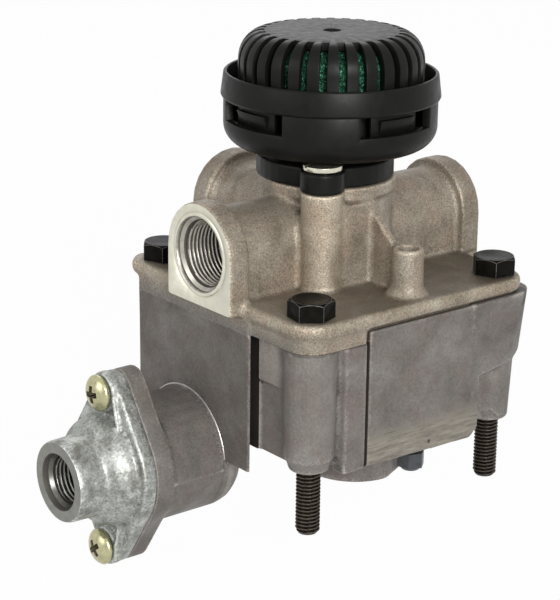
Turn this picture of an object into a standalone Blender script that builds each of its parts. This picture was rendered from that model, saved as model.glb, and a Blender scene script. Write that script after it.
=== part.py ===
# Compressed-air relay valve: two castings on four through bolts, a control
# port adaptor on the side, the valve mechanism inside and a silencer on top.
# Z runs along the valve's axis. The origin is where that axis meets the flat
# end of the boss under the lower housing. Sizes are in metres.

import bpy
import bmesh
from math import atan2, cos, pi, radians, sin, sqrt
from mathutils import Matrix, Vector

for old in list(bpy.data.objects):
    bpy.data.objects.remove(old, do_unlink=True)

mm = 0.001

# fits
gap = 0.3 * mm              # between pieces that touch
boltClearance = 0.35 * mm   # round the bolts and screws
slideClearance = 0.3 * mm   # round the moving pieces

# through bolts
boltPitch = 78 * mm
half = boltPitch / 2
boltRadius = 3.95 * mm
boltLength = 72 * mm
boltHeadFlats = 13 * mm
boltHeadHeight = 5.3 * mm
boltTipChamfer = 1.2 * mm

# heights
splitHeight = 56.5 * mm
flangeTop = splitHeight + 9.5 * mm
portRise = 13.2 * mm
portHeight = flangeTop + portRise
collarTop = portHeight + 18.8 * mm
columnFoot = 16 * mm

# upper housing
flangeHalf = half + 9.3 * mm
flangeCorner = 10 * mm
rimThickness = 5 * mm
rimRounding = 1.6 * mm
lowerTierInset = 2.6 * mm
barrelRadius = 22 * mm
barrelLip = 4 * mm
barrelNeck = 1.4 * mm
flangeFillet = 2.5 * mm
portReach = flangeHalf + 4.9 * mm
portFaceHalf = 16.8 * mm
portFaceFoot = flangeTop - 3.8 * mm
portRimDepth = 7.7 * mm
portNeckHalf = 14 * mm
portRadius = 11 * mm
portMouthRadius = 12.1 * mm
portDepth = 26.2 * mm
postOffset = barrelRadius * 0.8
postRadius = 6.8 * mm
padLeft, padRight, padTop = -postOffset, 0.6 * mm, collarTop - 4.5 * mm
padFront = -barrelRadius - 0.9 * mm
stubReach = half + 0.5 * mm
stubRadius = 5 * mm
stubTop = flangeTop + 15.8 * mm
stubDimple = 3.4 * mm
stubFlare = 3 * mm
stubDimpleDepth = 3 * mm
webThickness = 2.6 * mm

# bores along the axis
guideBoreRadius = barrelRadius - 5 * mm
guideSeat = collarTop - 12 * mm
supplyRadius = guideBoreRadius - 2 * mm
ringGroove = 1.4 * mm
seatWallTop = portHeight - 6.2 * mm
seatWallThickness = 5 * mm
discRadius = 0.813 * supplyRadius
seatHoleRadius = 0.697 * discRadius
seatRingWall = 1.5 * mm
seatRingHeight = 1.2 * mm
deliveryHeight = splitHeight + 3.5 * mm

# lower housing
coreHalf = half + 3.7 * mm
coreFoot = 16.8 * mm
columnRadius = 8.1 * mm
columnDraft = 0.4 * mm
columnEnd = 6.5 * mm
columnStep = 4.6 * mm
wallFace = coreHalf + 5.3 * mm
leftWall = (-half / 2 + 0.1 * mm, half + 2 * mm, 9.8 * mm)        # from, to, foot
leftWallThickness = 2 * mm
recessStep = 1.6 * mm
recessStepFoot = 41.4 * mm
ribThickness = 2.6 * mm
ribPlace = -31.4 * mm
sideWall = (-0.57 * half, 0.65 * half, 16.4 * mm)
skirtFoot = 33 * mm
skirtHalf = wallFace + 0.9 * mm
skirtStart = 0.55 * half
skirtDraft = 0.025
pistonBoreRadius = half - 4.5 * mm
pistonBoreFloor = 32 * mm
stemBoreFloor = 9.7 * mm
bossRadius = 17.8 * mm
bossOffset = -15.3 * mm
bossDepth = 18 * mm
stemBossRadius = 13 * mm

# control side, a chamber along X
chamberY, chamberZ = 14.3 * mm, 8.1 * mm
chamberRadius = 20.8 * mm
chamberBore = chamberRadius - 4.3 * mm
chamberEnd = -half + 2 * mm
chamberEndRounding = 8 * mm
chamberStand = 26.4 * mm
chamberFace = wallFace + chamberStand
flangeRadius = chamberRadius + 0.4 * mm
housingFlangeDepth = 6.4 * mm
adaptorFlangeDepth = 4.8 * mm
lobeRadius = 6.4 * mm
screwOffset = flangeRadius + 5.6 * mm
nozzleLength = 9.6 * mm
nozzleSetback = 14.1 * mm
nozzleRoot = chamberFace + nozzleSetback
nozzleReach = nozzleRoot + nozzleLength
nozzleRadius = 13.5 * mm
controlRadius = 8 * mm
controlMouth = 9.3 * mm
passageRadius = 3 * mm
passageStart = pistonBoreRadius - 6.5 * mm
passageHeight = pistonBoreFloor - 11 * mm

# screws
smallScrewRadius = 2.9 * mm
smallHeadRadius = 6 * mm
smallHeadHeight = 3.6 * mm
smallScrewLength = 12 * mm
topScrewRadius = 2.4 * mm
topHeadRadius = 6.4 * mm
topHeadHeight = 2.4 * mm
topScrewLength = 18 * mm
plugFlats = 8.2 * mm
plugSpot = (6 * mm, -37.5 * mm)
plugFoot = 3.9 * mm
plugHeadHeight = 6.6 * mm
plugShankRadius = 2.4 * mm
plugShankLength = 7 * mm

# piston and valve
pistonTop = 46 * mm
pistonThickness = 10 * mm
pistonWeb = 5 * mm
pistonStemRadius = 8.5 * mm
exhaustSeatRadius = 0.7 * seatHoleRadius
exhaustGap = 2 * mm
facingThickness = 2 * mm
facingRadius = 0.95 * discRadius
discThickness = 1.8 * mm
tubeRadius = 0.525 * discRadius
tubeBore = 0.75 * tubeRadius
tubeTop = collarTop - 3 * mm
guideTop = collarTop - 4 * mm
guidePocket = 2.6 * mm
springRadius = 0.73 * discRadius
springWire = 0.7 * mm
springTurns = 4.5
ringThickness = 1.2 * mm
ringDepth = 3 * mm
ringOpening = 5 * mm
sealRadius = 1.05 * mm

# silencer, heights counted upwards from piece to piece
basePlateRadius = barrelRadius + 0.6 * mm
basePlateHeight = 6.7 * mm
basePlateShift = (-1.1 * mm, 0.9 * mm)
lugRadius = 7.2 * mm
neckRadius = guideBoreRadius + 0.4 * mm
neckWall = 2.4 * mm
spigotRadius = neckRadius - 3 * mm
spigotRise = 2 * mm
bowlRadius = 34.9 * mm
bowlWall = 2.5 * mm
bowlHeight = 15.7 * mm
bowlRounding = 7 * mm
filterStandWall = 2 * mm
windowAngle = 49
windowHeight = 6.6 * mm
coverOverhang = 0.9 * mm
coverRingHeight = 8 * mm
coverRingWall = 1.8 * mm
channelDepth = 6.4 * mm
tabWall = 1.5 * mm
tabLength = 7 * mm
tabAngle = 34
hookAngle = 24
hookRise = 1.7 * mm
capRadius = bowlRadius - 4.7 * mm
filterStand = capRadius - 3.8 * mm
capHeight = 21 * mm
capShoulderHeight = 9.4 * mm
capFlat = capRadius - 8 * mm
capWall = 2.6 * mm
capDimpleRadius = 3 * mm
capDimpleDepth = 0.9 * mm
slotCount = 30
slotTurn = 3
slotWidth = 2.5 * mm
slotInner = capFlat + 0.7 * mm
filterWall = 5 * mm

corners = [(-half, -half), (half, -half), (half, half), (-half, half)]
upperFoot = splitHeight + gap / 2
lowerTop = splitHeight - gap / 2
tierHalf = flangeHalf - lowerTierInset
lipTop = flangeTop - rimThickness - gap
seatTop = seatWallTop + seatRingHeight
facingFoot = seatTop + gap
discFoot = facingFoot + facingThickness + gap
baseFoot = collarTop + gap
baseTop = baseFoot + basePlateHeight
bowlFloor = baseTop + topHeadHeight + 2 * gap
bowlTop = bowlFloor + bowlHeight
windowLow = bowlTop - windowHeight
coverFoot = bowlTop + gap
coverRing = bowlRadius + coverOverhang
coverRingTop = coverFoot + coverRingHeight
capTop = coverFoot + capHeight
capShoulder = capTop - capShoulderHeight
sealGroove = sealRadius * 2 + gap
housingSealRadius = pistonBoreRadius + 3.5 * mm

parts = bpy.data.collections.new("relay_valve")
guides = bpy.data.collections.new("cutters")
bpy.context.scene.collection.children.link(parts)
bpy.context.scene.collection.children.link(guides)


def material(name, colour, roughness, metallic):
    mat = bpy.data.materials.new(name)
    mat.use_nodes = True
    shader = mat.node_tree.nodes["Principled BSDF"]
    shader.inputs["Base Color"].default_value = (*colour, 1)
    shader.inputs["Roughness"].default_value = roughness
    shader.inputs["Metallic"].default_value = metallic
    return mat


castWarm = material("cast aluminium, warm", (0.36, 0.33, 0.28), 0.55, 0.6)
castDark = material("cast aluminium, dark", (0.20, 0.18, 0.17), 0.5, 0.6)
castPale = material("cast aluminium, pale", (0.50, 0.51, 0.49), 0.4, 0.75)
steelBlack = material("black steel", (0.012, 0.012, 0.012), 0.35, 0.5)
zincYellow = material("yellow zinc", (0.62, 0.54, 0.33), 0.3, 0.9)
zincWhite = material("white zinc", (0.70, 0.70, 0.68), 0.25, 0.95)
springSteel = material("spring steel", (0.45, 0.45, 0.45), 0.3, 1.0)
machined = material("machined aluminium", (0.62, 0.62, 0.60), 0.3, 0.9)
plasticBlack = material("black plastic", (0.010, 0.010, 0.011), 0.5, 0.0)
plasticGuide = material("guide plastic", (0.03, 0.03, 0.03), 0.5, 0.0)
rubber = material("rubber", (0.015, 0.015, 0.015), 0.75, 0.0)
knit = material("green knit", (0.02, 0.12, 0.06), 0.9, 0.0)
plugSteel = material("dark plug", (0.05, 0.05, 0.06), 0.4, 0.6)


def register(obj, name):
    obj.name = name
    obj.data.name = name
    for collection in list(obj.users_collection):
        collection.objects.unlink(obj)
    guides.objects.link(obj)
    obj.hide_render = True
    obj.display_type = "WIRE"
    return obj


def finish(obj, name, mat, sharpAngle=35):
    obj.name = name
    obj.data.name = name
    obj.data.materials.clear()
    obj.data.materials.append(mat)
    obj.data.shade_smooth()
    obj.data.set_sharp_from_angle(angle=radians(sharpAngle))
    guides.objects.unlink(obj)
    parts.objects.link(obj)
    obj.hide_render = False
    obj.display_type = "TEXTURED"
    return obj


def baked(obj):
    # keeps what the modifiers make and drops the modifiers
    graph = bpy.context.evaluated_depsgraph_get()
    mesh = bpy.data.meshes.new_from_object(obj.evaluated_get(graph))
    if obj.type == "CURVE":
        place = obj.matrix_world.copy()
        name = obj.name
        bpy.data.objects.remove(obj, do_unlink=True)
        obj = bpy.data.objects.new(name, mesh)
        guides.objects.link(obj)
        obj.matrix_world = place
    else:
        obj.modifiers.clear()
        obj.data = mesh
    bm = bmesh.new()
    bm.from_mesh(mesh)
    bmesh.ops.remove_doubles(bm, verts=bm.verts, dist=2e-7)
    bmesh.ops.transform(bm, matrix=obj.matrix_world, verts=bm.verts)
    bmesh.ops.recalc_face_normals(bm, faces=bm.faces)
    bm.to_mesh(mesh)
    bm.free()
    obj.matrix_world = Matrix.Identity(4)
    return register(obj, obj.name)


def turnTo(axis):
    # turns a shape made along Z so that it runs along the given axis
    return Vector((0, 0, 1)).rotation_difference(Vector(axis)).to_euler()


def rod(radius, low, high, spot=(0, 0), sides=36, name="rod"):
    # an upright cylinder between two heights
    bpy.ops.mesh.primitive_cylinder_add(
        vertices=sides, radius=radius, depth=high - low,
        location=(spot[0], spot[1], (low + high) / 2))
    bpy.context.view_layer.update()
    return baked(bpy.context.object)


def rodAlong(axis, radius, low, high, centre, sides=28):
    # a cylinder from low to high along X or Y, through a centre point
    at = Vector(centre) + Vector(axis) * (low + high) / 2
    bpy.ops.mesh.primitive_cylinder_add(
        vertices=sides, radius=radius, depth=high - low,
        location=at, rotation=turnTo(axis))
    bpy.context.view_layer.update()
    return baked(bpy.context.object)


def block(low, high):
    bpy.ops.mesh.primitive_cube_add(size=1)
    obj = bpy.context.object
    obj.location = [(a + b) / 2 for a, b in zip(low, high)]
    obj.scale = [b - a for a, b in zip(low, high)]
    bpy.context.view_layer.update()
    return baked(obj)


def hexagon(flats, low, high, spot, turn):
    bpy.ops.mesh.primitive_cylinder_add(
        vertices=6, radius=flats / sqrt(3), depth=high - low,
        location=(spot[0], spot[1], (low + high) / 2), rotation=(0, 0, turn))
    bpy.context.view_layer.update()
    return baked(bpy.context.object)


def turned(profile, steps=36, spot=(0, 0, 0), axis=(0, 0, 1)):
    # profile: (radius, height) down the outer side, closed back to its start
    mesh = bpy.data.meshes.new("profile")
    points = [(r, 0, z) for r, z in profile]
    onAxis = profile[0][0] == 0 and profile[-1][0] == 0
    count = len(points)
    edges = [(i, i + 1) for i in range(count - 1)]
    if not onAxis:
        edges.append((count - 1, 0))
    mesh.from_pydata(points, edges, [])
    obj = bpy.data.objects.new("turned", mesh)
    guides.objects.link(obj)
    screw = obj.modifiers.new("turn", "SCREW")
    screw.steps = steps
    screw.render_steps = steps
    screw.use_merge_vertices = True
    screw.merge_threshold = 1e-6
    obj.location = spot
    obj.rotation_euler = turnTo(axis)
    bpy.context.view_layer.update()
    return baked(obj)


def flat(outline, low, high, name="flat"):
    # a closed outline in XY, thickened between two heights
    curve = bpy.data.curves.new(name, "CURVE")
    curve.dimensions = "2D"
    curve.fill_mode = "BOTH"
    curve.extrude = (high - low) / 2
    spline = curve.splines.new("POLY")
    spline.points.add(len(outline) - 1)
    for point, (x, y) in zip(spline.points, outline):
        point.co = (x, y, 0, 1)
    spline.use_cyclic_u = True
    obj = bpy.data.objects.new(name, curve)
    guides.objects.link(obj)
    obj.location = (0, 0, (low + high) / 2)
    bpy.context.view_layer.update()
    return baked(obj)


def merged(obj, angle=0.5):
    # triangles that lie in one plane become one face
    bm = bmesh.new()
    bm.from_mesh(obj.data)
    bmesh.ops.dissolve_limit(bm, angle_limit=radians(angle), verts=bm.verts, edges=bm.edges)
    bm.to_mesh(obj.data)
    bm.free()
    return obj


def split(obj):
    # and back to triangles, which stay flat
    bm = bmesh.new()
    bm.from_mesh(obj.data)
    bmesh.ops.triangulate(bm, faces=[f for f in bm.faces if len(f.verts) > 4])
    bm.to_mesh(obj.data)
    bm.free()
    return obj


def drafted(obj, height, share):
    # draws in what lies below a height, as a mould's draft does
    for vert in obj.data.vertices:
        if vert.co.z < height:
            vert.co.x *= 1 - share
            vert.co.y *= 1 - share
    return obj


def stood(obj, matrix):
    # moves a baked shape by a matrix
    obj.data.transform(matrix)
    obj.data.update()
    return obj


def softened(obj, width, segments=2, angle=50):
    obj = merged(obj)
    bevel = obj.modifiers.new("edges", "BEVEL")
    bevel.width = width
    bevel.segments = segments
    bevel.limit_method = "ANGLE"
    bevel.angle_limit = radians(angle)
    bpy.context.view_layer.update()
    return split(baked(obj))


def combine(obj, others, operation):
    for other in others:
        step = obj.modifiers.new("join", "BOOLEAN")
        step.operation = operation
        step.object = other
        step.solver = "EXACT"
    bpy.context.view_layer.update()
    result = baked(obj)
    for other in others:
        bpy.data.objects.remove(other, do_unlink=True)
    return result


def joined(obj, *others):
    return combine(obj, others, "UNION")


def cut(obj, *others):
    return split(merged(combine(obj, others, "DIFFERENCE"), 0.05))


def arc(centre, radius, start, end, steps):
    turns = [start + (end - start) * i / steps for i in range(steps + 1)]
    return [(centre[0] + radius * cos(a), centre[1] + radius * sin(a)) for a in turns]


def roundedSquare(side, corner, steps=5):
    k = side - corner
    points = []
    for turn, (x, y) in enumerate([(k, k), (-k, k), (-k, -k), (k, -k)]):
        points += arc((x, y), corner, turn * pi / 2, (turn + 1) * pi / 2, steps)
    return points


def archOutline(halfWidth, foot, centreHeight, steps=12):
    top = arc((0, centreHeight), halfWidth, 0, pi, steps)
    return [(halfWidth, foot)] + top + [(-halfWidth, foot)]


def lobedOutline(radius, lobe, offset, steps=14):
    # two lobes on a round middle, joined by straight tangents
    tilt = atan2(sqrt(offset ** 2 - (radius - lobe) ** 2), radius - lobe)
    points = arc((offset, 0), lobe, -tilt, tilt, 6)
    points += arc((0, 0), radius, tilt, pi - tilt, steps)
    points += arc((-offset, 0), lobe, pi - tilt, pi + tilt, 6)
    points += arc((0, 0), radius, pi + tilt, 2 * pi - tilt, steps)
    return points


def standUp(direction):
    # XY outline to the plane that faces the direction, its Y upwards
    out = Vector(direction)
    side = Vector((0, 0, 1)).cross(out)
    return Matrix((
        (side.x, 0, out.x, 0), (side.y, 0, out.y, 0), (0, 1, 0, 0), (0, 0, 0, 1)))


def sealRing(radius, height, steps=24, ringSides=6, spot=(0, 0, 0), axis=(0, 0, 1)):
    bpy.ops.mesh.primitive_torus_add(
        major_radius=radius, minor_radius=sealRadius, major_segments=steps,
        minor_segments=ringSides, location=Vector(spot) + Vector(axis) * height,
        rotation=turnTo(axis))
    bpy.context.view_layer.update()
    return baked(bpy.context.object)


portSides = [(-1, 0, 0), (1, 0, 0), (0, 1, 0)]
chamberLine = (0, chamberY, chamberZ)
left = (-1, 0, 0)


def makeUpperHousing():
    rim = flat(roundedSquare(flangeHalf, flangeCorner), flangeTop - rimThickness, flangeTop)
    rim = softened(rim, rimRounding, 2)
    tier = flat(roundedSquare(tierHalf, flangeCorner - lowerTierInset),
                upperFoot, flangeTop - rimThickness / 2)
    into = rimThickness / 5
    barrel = turned([
        (0, collarTop + into), (barrelRadius, collarTop + into), (barrelRadius, collarTop - barrelLip),
        (barrelRadius - barrelNeck, collarTop - barrelLip - barrelNeck / 2),
        (barrelRadius - barrelNeck / 2, flangeTop + flangeFillet),
        (barrelRadius + flangeFillet, flangeTop - into), (0, flangeTop - into)])
    pieces = []
    for side in portSides:
        neck = stood(flat(archOutline(portNeckHalf, portFaceFoot + 0.7 * mm, portHeight),
                          guideBoreRadius - barrelNeck, portReach - portRimDepth / 2), standUp(side))
        face = flat(archOutline(portFaceHalf, portFaceFoot, portHeight),
                    portReach - portRimDepth, portReach)
        pieces += [neck, stood(softened(face, 0.8 * mm, 2), standUp(side))]
    for sign in (-1, 1):
        pieces.append(rod(postRadius, flangeTop - 1.3 * into, collarTop + 2 * into,
                          (sign * postOffset, sign * postOffset), 20))
    pieces.append(block((padLeft, padFront, flangeTop - into), (padRight, 0, padTop)))
    stub = turned([
        (0, stubTop), (stubRadius - stubFlare / 5, stubTop), (stubRadius, stubTop - stubFlare / 5),
        (stubRadius + stubFlare / 10, flangeTop + stubFlare),
        (stubRadius + stubFlare, flangeTop - into), (0, flangeTop - into)],
        20, (0, -stubReach, 0))
    webRoot = padFront + 2 * webThickness
    web = flat([(webRoot, flangeTop - into), (-stubReach, flangeTop - into),
                (-stubReach, stubTop - 4 * into), (-stubReach + stubRadius, stubTop - into),
                (padFront - webThickness, padTop - 2 * webThickness),
                (padFront + webThickness, padTop - into), (webRoot, padTop - into)],
               -webThickness / 2, webThickness / 2)
    upright = Matrix(((0, 0, 1, 0), (1, 0, 0, 0), (0, 1, 0, 0), (0, 0, 0, 1)))
    pieces += [stub, stood(web, upright)]
    body = joined(barrel, *pieces, tier, rim)

    over = flangeHalf + rimThickness
    cutters = [
        block((-over, -over, collarTop), (over, over, collarTop + rimThickness)),
        rod(guideBoreRadius, guideSeat, collarTop + into),
        turned([(0, guideTop + gap + ringThickness + gap),
                (guideBoreRadius + ringGroove, guideTop + gap + ringThickness + gap),
                (guideBoreRadius + ringGroove, guideTop), (0, guideTop)]),
        rod(seatHoleRadius, deliveryHeight, seatTop + into),
        rod(supplyRadius, deliveryHeight - into, seatWallTop - seatWallThickness),
        rod(pistonBoreRadius - gap, upperFoot - into, deliveryHeight, sides=36),
        turned([(supplyRadius, guideSeat + into), (supplyRadius, seatWallTop),
                (seatHoleRadius + seatRingWall, seatWallTop),
                (seatHoleRadius + seatRingWall, seatTop), (0, seatTop),
                (0, guideSeat + into)]),
    ]
    mouth = portMouthRadius - portRadius
    passage = portRadius / 2
    for side in portSides:
        centre = (0, 0, portHeight)
        cutters.append(turned([
            (0, mouth), (portMouthRadius + mouth, mouth), (portRadius, -mouth),
            (portRadius, -portDepth), (0, -portDepth)],
            24, Vector(side) * portReach + Vector(centre), side))
        inner = portReach - portDepth
        if side[0]:
            low = sorted([side[0] * (inner + passage), side[0] * (inner - passage)])
            cutters.append(block((low[0], -passage, deliveryHeight - into),
                                 (low[1], passage, portHeight)))
        else:
            cutters.append(rodAlong(side, passage, supplyRadius - passage / 2,
                                    inner + into, centre, 16))
    for x, y in corners:
        cutters.append(rod(boltRadius + boltClearance, upperFoot - into,
                           flangeTop + into, (x, y), 16))
    for sign in (-1, 1):
        cutters.append(rod(topScrewRadius + boltClearance, baseTop - topScrewLength - into,
                           collarTop + into, (sign * postOffset, sign * postOffset), 12))
    cutters.append(turned([
        (0, stubTop + into), (stubDimple, stubTop + into), (stubDimple, stubTop - stubDimpleDepth),
        (0, stubTop - 1.5 * stubDimpleDepth)], 16, (0, -stubReach, 0)))
    finish(cut(body, *cutters), "upper_housing", castWarm)


def makeLowerHousing():
    core = flat(roundedSquare(coreHalf, 6 * mm, 5), coreFoot, lowerTop)
    pieces = []
    for x, y in corners:
        pieces.append(turned([
            (0, lowerTop - gap), (columnRadius + columnDraft, lowerTop - gap),
            (columnRadius, columnFoot + columnStep),
            (columnEnd + columnDraft, columnFoot + columnStep / 2),
            (columnEnd, columnFoot + columnDraft), (columnEnd - 2 * columnDraft, columnFoot),
            (0, columnFoot)], 20, (x, y, 0)))
    start, end, foot = leftWall
    pieces.append(block((-wallFace, start, foot),
                        (-wallFace + leftWallThickness, end, lowerTop - gap / 2)))
    pieces.append(block((-wallFace + leftWallThickness / 2, start + gap, coreFoot + gap),
                        (-coreHalf + leftWallThickness, end - gap, lowerTop - gap)))
    pieces.append(block((-coreHalf - recessStep, -half, recessStepFoot),
                        (-coreHalf + leftWallThickness, start + leftWallThickness,
                         lowerTop - 2 * gap)))
    start, end, foot = sideWall
    inner = coreHalf - 2 * mm
    wallTop = lipTop - gap
    chamfered = [(start, foot), (end - 2.8 * mm, foot), (end + 0.6 * mm, foot + 3.4 * mm),
                 (end, wallTop), (start, wallTop)]
    pieces.append(stood(flat(chamfered, inner, wallFace), standUp((0, -1, 0))))
    chamfered = [(-end, foot), (-start, foot), (-start, wallTop), (-end, wallTop)]
    pieces.append(stood(flat(chamfered, inner, wallFace), standUp((1, 0, 0))))
    pieces.append(stood(flat(chamfered, inner, wallFace), standUp((0, 1, 0))))
    pieces.append(drafted(flat(skirtOutline(), skirtFoot, lipTop), lowerTop, skirtDraft))
    pieces.append(turned([
        (0, bossDepth), (bossRadius + 0.6 * mm, bossDepth), (bossRadius, 1 * mm),
        (bossRadius - 1 * mm, 0), (0, 0)], 36, (0, bossOffset, 0)))
    pieces.append(rod(stemBossRadius, 1.5 * mm, bossDepth + 4 * mm, sides=28))
    pieces.append(block((ribPlace, -coreHalf - ribThickness, coreFoot + columnDraft),
                        (ribPlace + ribThickness, -coreHalf + ribThickness, lowerTop - 3 * gap)))
    x, y = plugSpot
    pieces.append(rod(plugFlats / 2 + 1.2 * mm, plugFoot + plugHeadHeight + gap,
                      bossDepth + 4 * mm, (x, y), 24))
    chamber = turned([
        (0, chamberFace - gap / 2)] + [(chamberRadius, chamberFace - gap / 2)]
        + [(chamberRadius - chamberEndRounding + chamberEndRounding * cos(a),
            -chamberEnd + chamberEndRounding - chamberEndRounding * sin(a))
           for a in [i * pi / 8 for i in range(5)]] + [(0, -chamberEnd)],
        32, chamberLine, left)
    plate = stood(flat(lobedOutline(flangeRadius, lobeRadius, screwOffset),
                       chamberFace - gap / 2 - housingFlangeDepth, chamberFace - gap / 2),
                  lobesUp())
    pieces += [chamber, plate]
    body = joined(core, *pieces)

    # the lip outside the upper housing's lower tier
    pocket = flat(roundedSquare(tierHalf + gap, flangeCorner - lowerTierInset + gap),
                  lowerTop, lipTop + 1 * mm)
    # the boss is cut off along a chord on its +X -Y side
    chord = Vector((9.5, 4.4, 0)).normalized()
    trimHalf = 1.7 * bossRadius
    trim = block((-trimHalf, -trimHalf, -2 * mm), (trimHalf, 0, coreFoot - 4 * mm))
    place = Matrix.Translation((bossRadius * 0.43, bossOffset - bossRadius * 0.77, 0))
    stood(trim, place @ Matrix.Rotation(atan2(chord.y, chord.x), 4, "Z"))
    cutters = [
        trim,
        pocket,
        rod(pistonBoreRadius, pistonBoreFloor, lowerTop + 5 * mm, sides=36),
        rod(pistonStemRadius + slideClearance, stemBoreFloor, pistonBoreFloor + 1 * mm, sides=28),
        turned([(housingSealRadius + sealGroove / 1.8, lowerTop + gap),
                (housingSealRadius + sealGroove / 1.8, lowerTop - sealGroove),
                (housingSealRadius - sealGroove / 1.8, lowerTop - sealGroove),
                (housingSealRadius - sealGroove / 1.8, lowerTop + gap)], 36),
        rodAlong(left, chamberBore, -chamberEnd + 2 * passageRadius, chamberFace + gap,
                 chamberLine),
        rodAlong(left, passageRadius, passageStart, -chamberEnd + 3 * passageRadius,
                 (0, chamberY, passageHeight), 12),
        rod(passageRadius, passageHeight - passageRadius, pistonBoreFloor + gap,
            (-passageStart, chamberY), 12),
        rod(plugShankRadius + boltClearance, plugFoot, plugFoot + plugHeadHeight
            + plugShankLength + 1 * mm, plugSpot, 12),
    ]
    for x, y in corners:
        cutters.append(rod(boltRadius + boltClearance, leftWall[2] - 2 * mm,
                           lipTop + 2 * mm, (x, y), 16))
    for sign in (-1, 1):
        cutters.append(rodAlong(
            left, smallScrewRadius + boltClearance,
            chamberFace - housingFlangeDepth - 2 * mm, chamberFace + 1 * mm,
            (0, chamberY, chamberZ + sign * screwOffset), 12))
    finish(cut(body, *cutters), "lower_housing", castDark)


def skirtOutline():
    # the deep wall round the two corners at +X
    corner = skirtHalf - half
    deep = half - columnEnd
    outer = ([(skirtStart, -skirtHalf)] + arc((half, -half), corner, -pi / 2, 0, 8)
             + arc((half, half), corner, 0, pi / 2, 8) + [(skirtStart, skirtHalf)])
    return outer + [(skirtStart, deep), (deep, deep), (deep, -deep), (skirtStart, -deep)]


def lobesUp():
    # lobed outline (long way along its X) to the control side, lobes up and down
    return Matrix((
        (0, 0, -1, 0), (0, 1, 0, chamberY), (1, 0, 0, chamberZ), (0, 0, 0, 1)))


def makeAdaptor():
    near = chamberFace + gap / 2
    lobeFace = near + adaptorFlangeDepth
    plate = stood(flat(lobedOutline(flangeRadius, lobeRadius, screwOffset), near, lobeFace),
                  lobesUp())
    plate = softened(plate, 0.7 * mm, 2)
    domeRadius = flangeRadius - 2.2 * mm
    shoulder = nozzleRoot - 1.5 * mm
    dome = [(domeRadius - (domeRadius - nozzleRadius - 1.5 * mm) * (1 - cos(a)),
             shoulder + (near + 1 * mm - shoulder) * (1 - sin(a)))
            for a in [i * pi / 10 for i in range(6)]]
    shell = turned(
        [(0, nozzleReach), (nozzleRadius - 0.8 * mm, nozzleReach),
         (nozzleRadius, nozzleReach - 0.8 * mm), (nozzleRadius + 0.2 * mm, nozzleRoot)]
        + dome[::-1] + [(0, near + 1 * mm)], 36, chamberLine, left)
    body = joined(plate, shell)
    cavity = controlMouth + 3.2 * mm
    cutters = [
        turned([(0, nozzleReach + 1 * mm), (controlMouth + 1 * mm, nozzleReach + 1 * mm),
                (controlMouth, nozzleReach), (controlRadius, nozzleReach - 1.3 * mm),
                (controlRadius, nozzleReach - 13 * mm), (cavity, nozzleRoot - 6 * mm),
                (cavity + 1.5 * mm, near - 1 * mm), (0, near - 1 * mm)],
               28, chamberLine, left),
        turned([(chamberBore + 3.3 * mm, near + sealGroove), (chamberBore + 3.3 * mm, near - 1 * mm),
                (chamberBore + 0.6 * mm, near - 1 * mm), (chamberBore + 0.6 * mm, near + sealGroove)],
               32, chamberLine, left),
    ]
    for sign in (-1, 1):
        spot = (0, chamberY, chamberZ + sign * screwOffset)
        cutters.append(rodAlong(left, smallScrewRadius + boltClearance,
                                near - 1 * mm, lobeFace + 1 * mm, spot, 12))
        cutters.append(rodAlong(left, smallHeadRadius + 0.5 * mm,
                                lobeFace, nozzleRoot + 2 * mm, spot, 20))
    finish(cut(body, *cutters), "control_adaptor", castPale)
    for sign, name in ((1, "adaptor_screw_upper"), (-1, "adaptor_screw_lower")):
        spot = (0, chamberY, chamberZ + sign * screwOffset)
        makePanScrew(name, spot, left, lobeFace + gap, smallScrewRadius, smallHeadRadius,
                     smallHeadHeight, smallScrewLength, zincYellow, cross=True)
    middle = chamberBore + 1.95 * mm
    seal = sealRing(middle, near + sealRadius, 24, 6, chamberLine, left)
    finish(seal, "adaptor_seal", rubber)


def makePanScrew(name, spot, axis, seat, radius, headRadius, headHeight, length, mat,
                 cross=False):
    dome = [(headRadius * (1 - 0.35 * (1 - cos(a)) ** 2) if i < 2
             else headRadius * cos(a) ** 0.6,
             seat + headHeight * (0.45 + 0.55 * sin(a)))
            for i, a in enumerate([i * pi / 8 for i in range(4)])]
    profile = ([(0, seat + headHeight)] + dome[::-1]
               + [(headRadius, seat), (radius, seat), (radius, seat - length + 0.6 * mm),
                  (radius - 0.6 * mm, seat - length), (0, seat - length)])
    body = turned(profile, 16, spot, axis)
    deep = headHeight * 0.6
    arm, width = headRadius * 0.52, headRadius * 0.2
    away = Vector(spot) + Vector(axis) * (seat + headHeight)
    slots = []
    for turn in ((0, pi / 2) if cross else (0.3,)):
        reach = arm if cross else headRadius * 1.2
        slot = block((-reach, -width / 2, -deep), (reach, width / 2, headHeight))
        place = Matrix.Translation(away) @ turnTo(axis).to_matrix().to_4x4()
        slots.append(stood(slot, place @ Matrix.Rotation(turn, 4, "Z")))
    finish(cut(body, *slots), name, mat)


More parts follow.
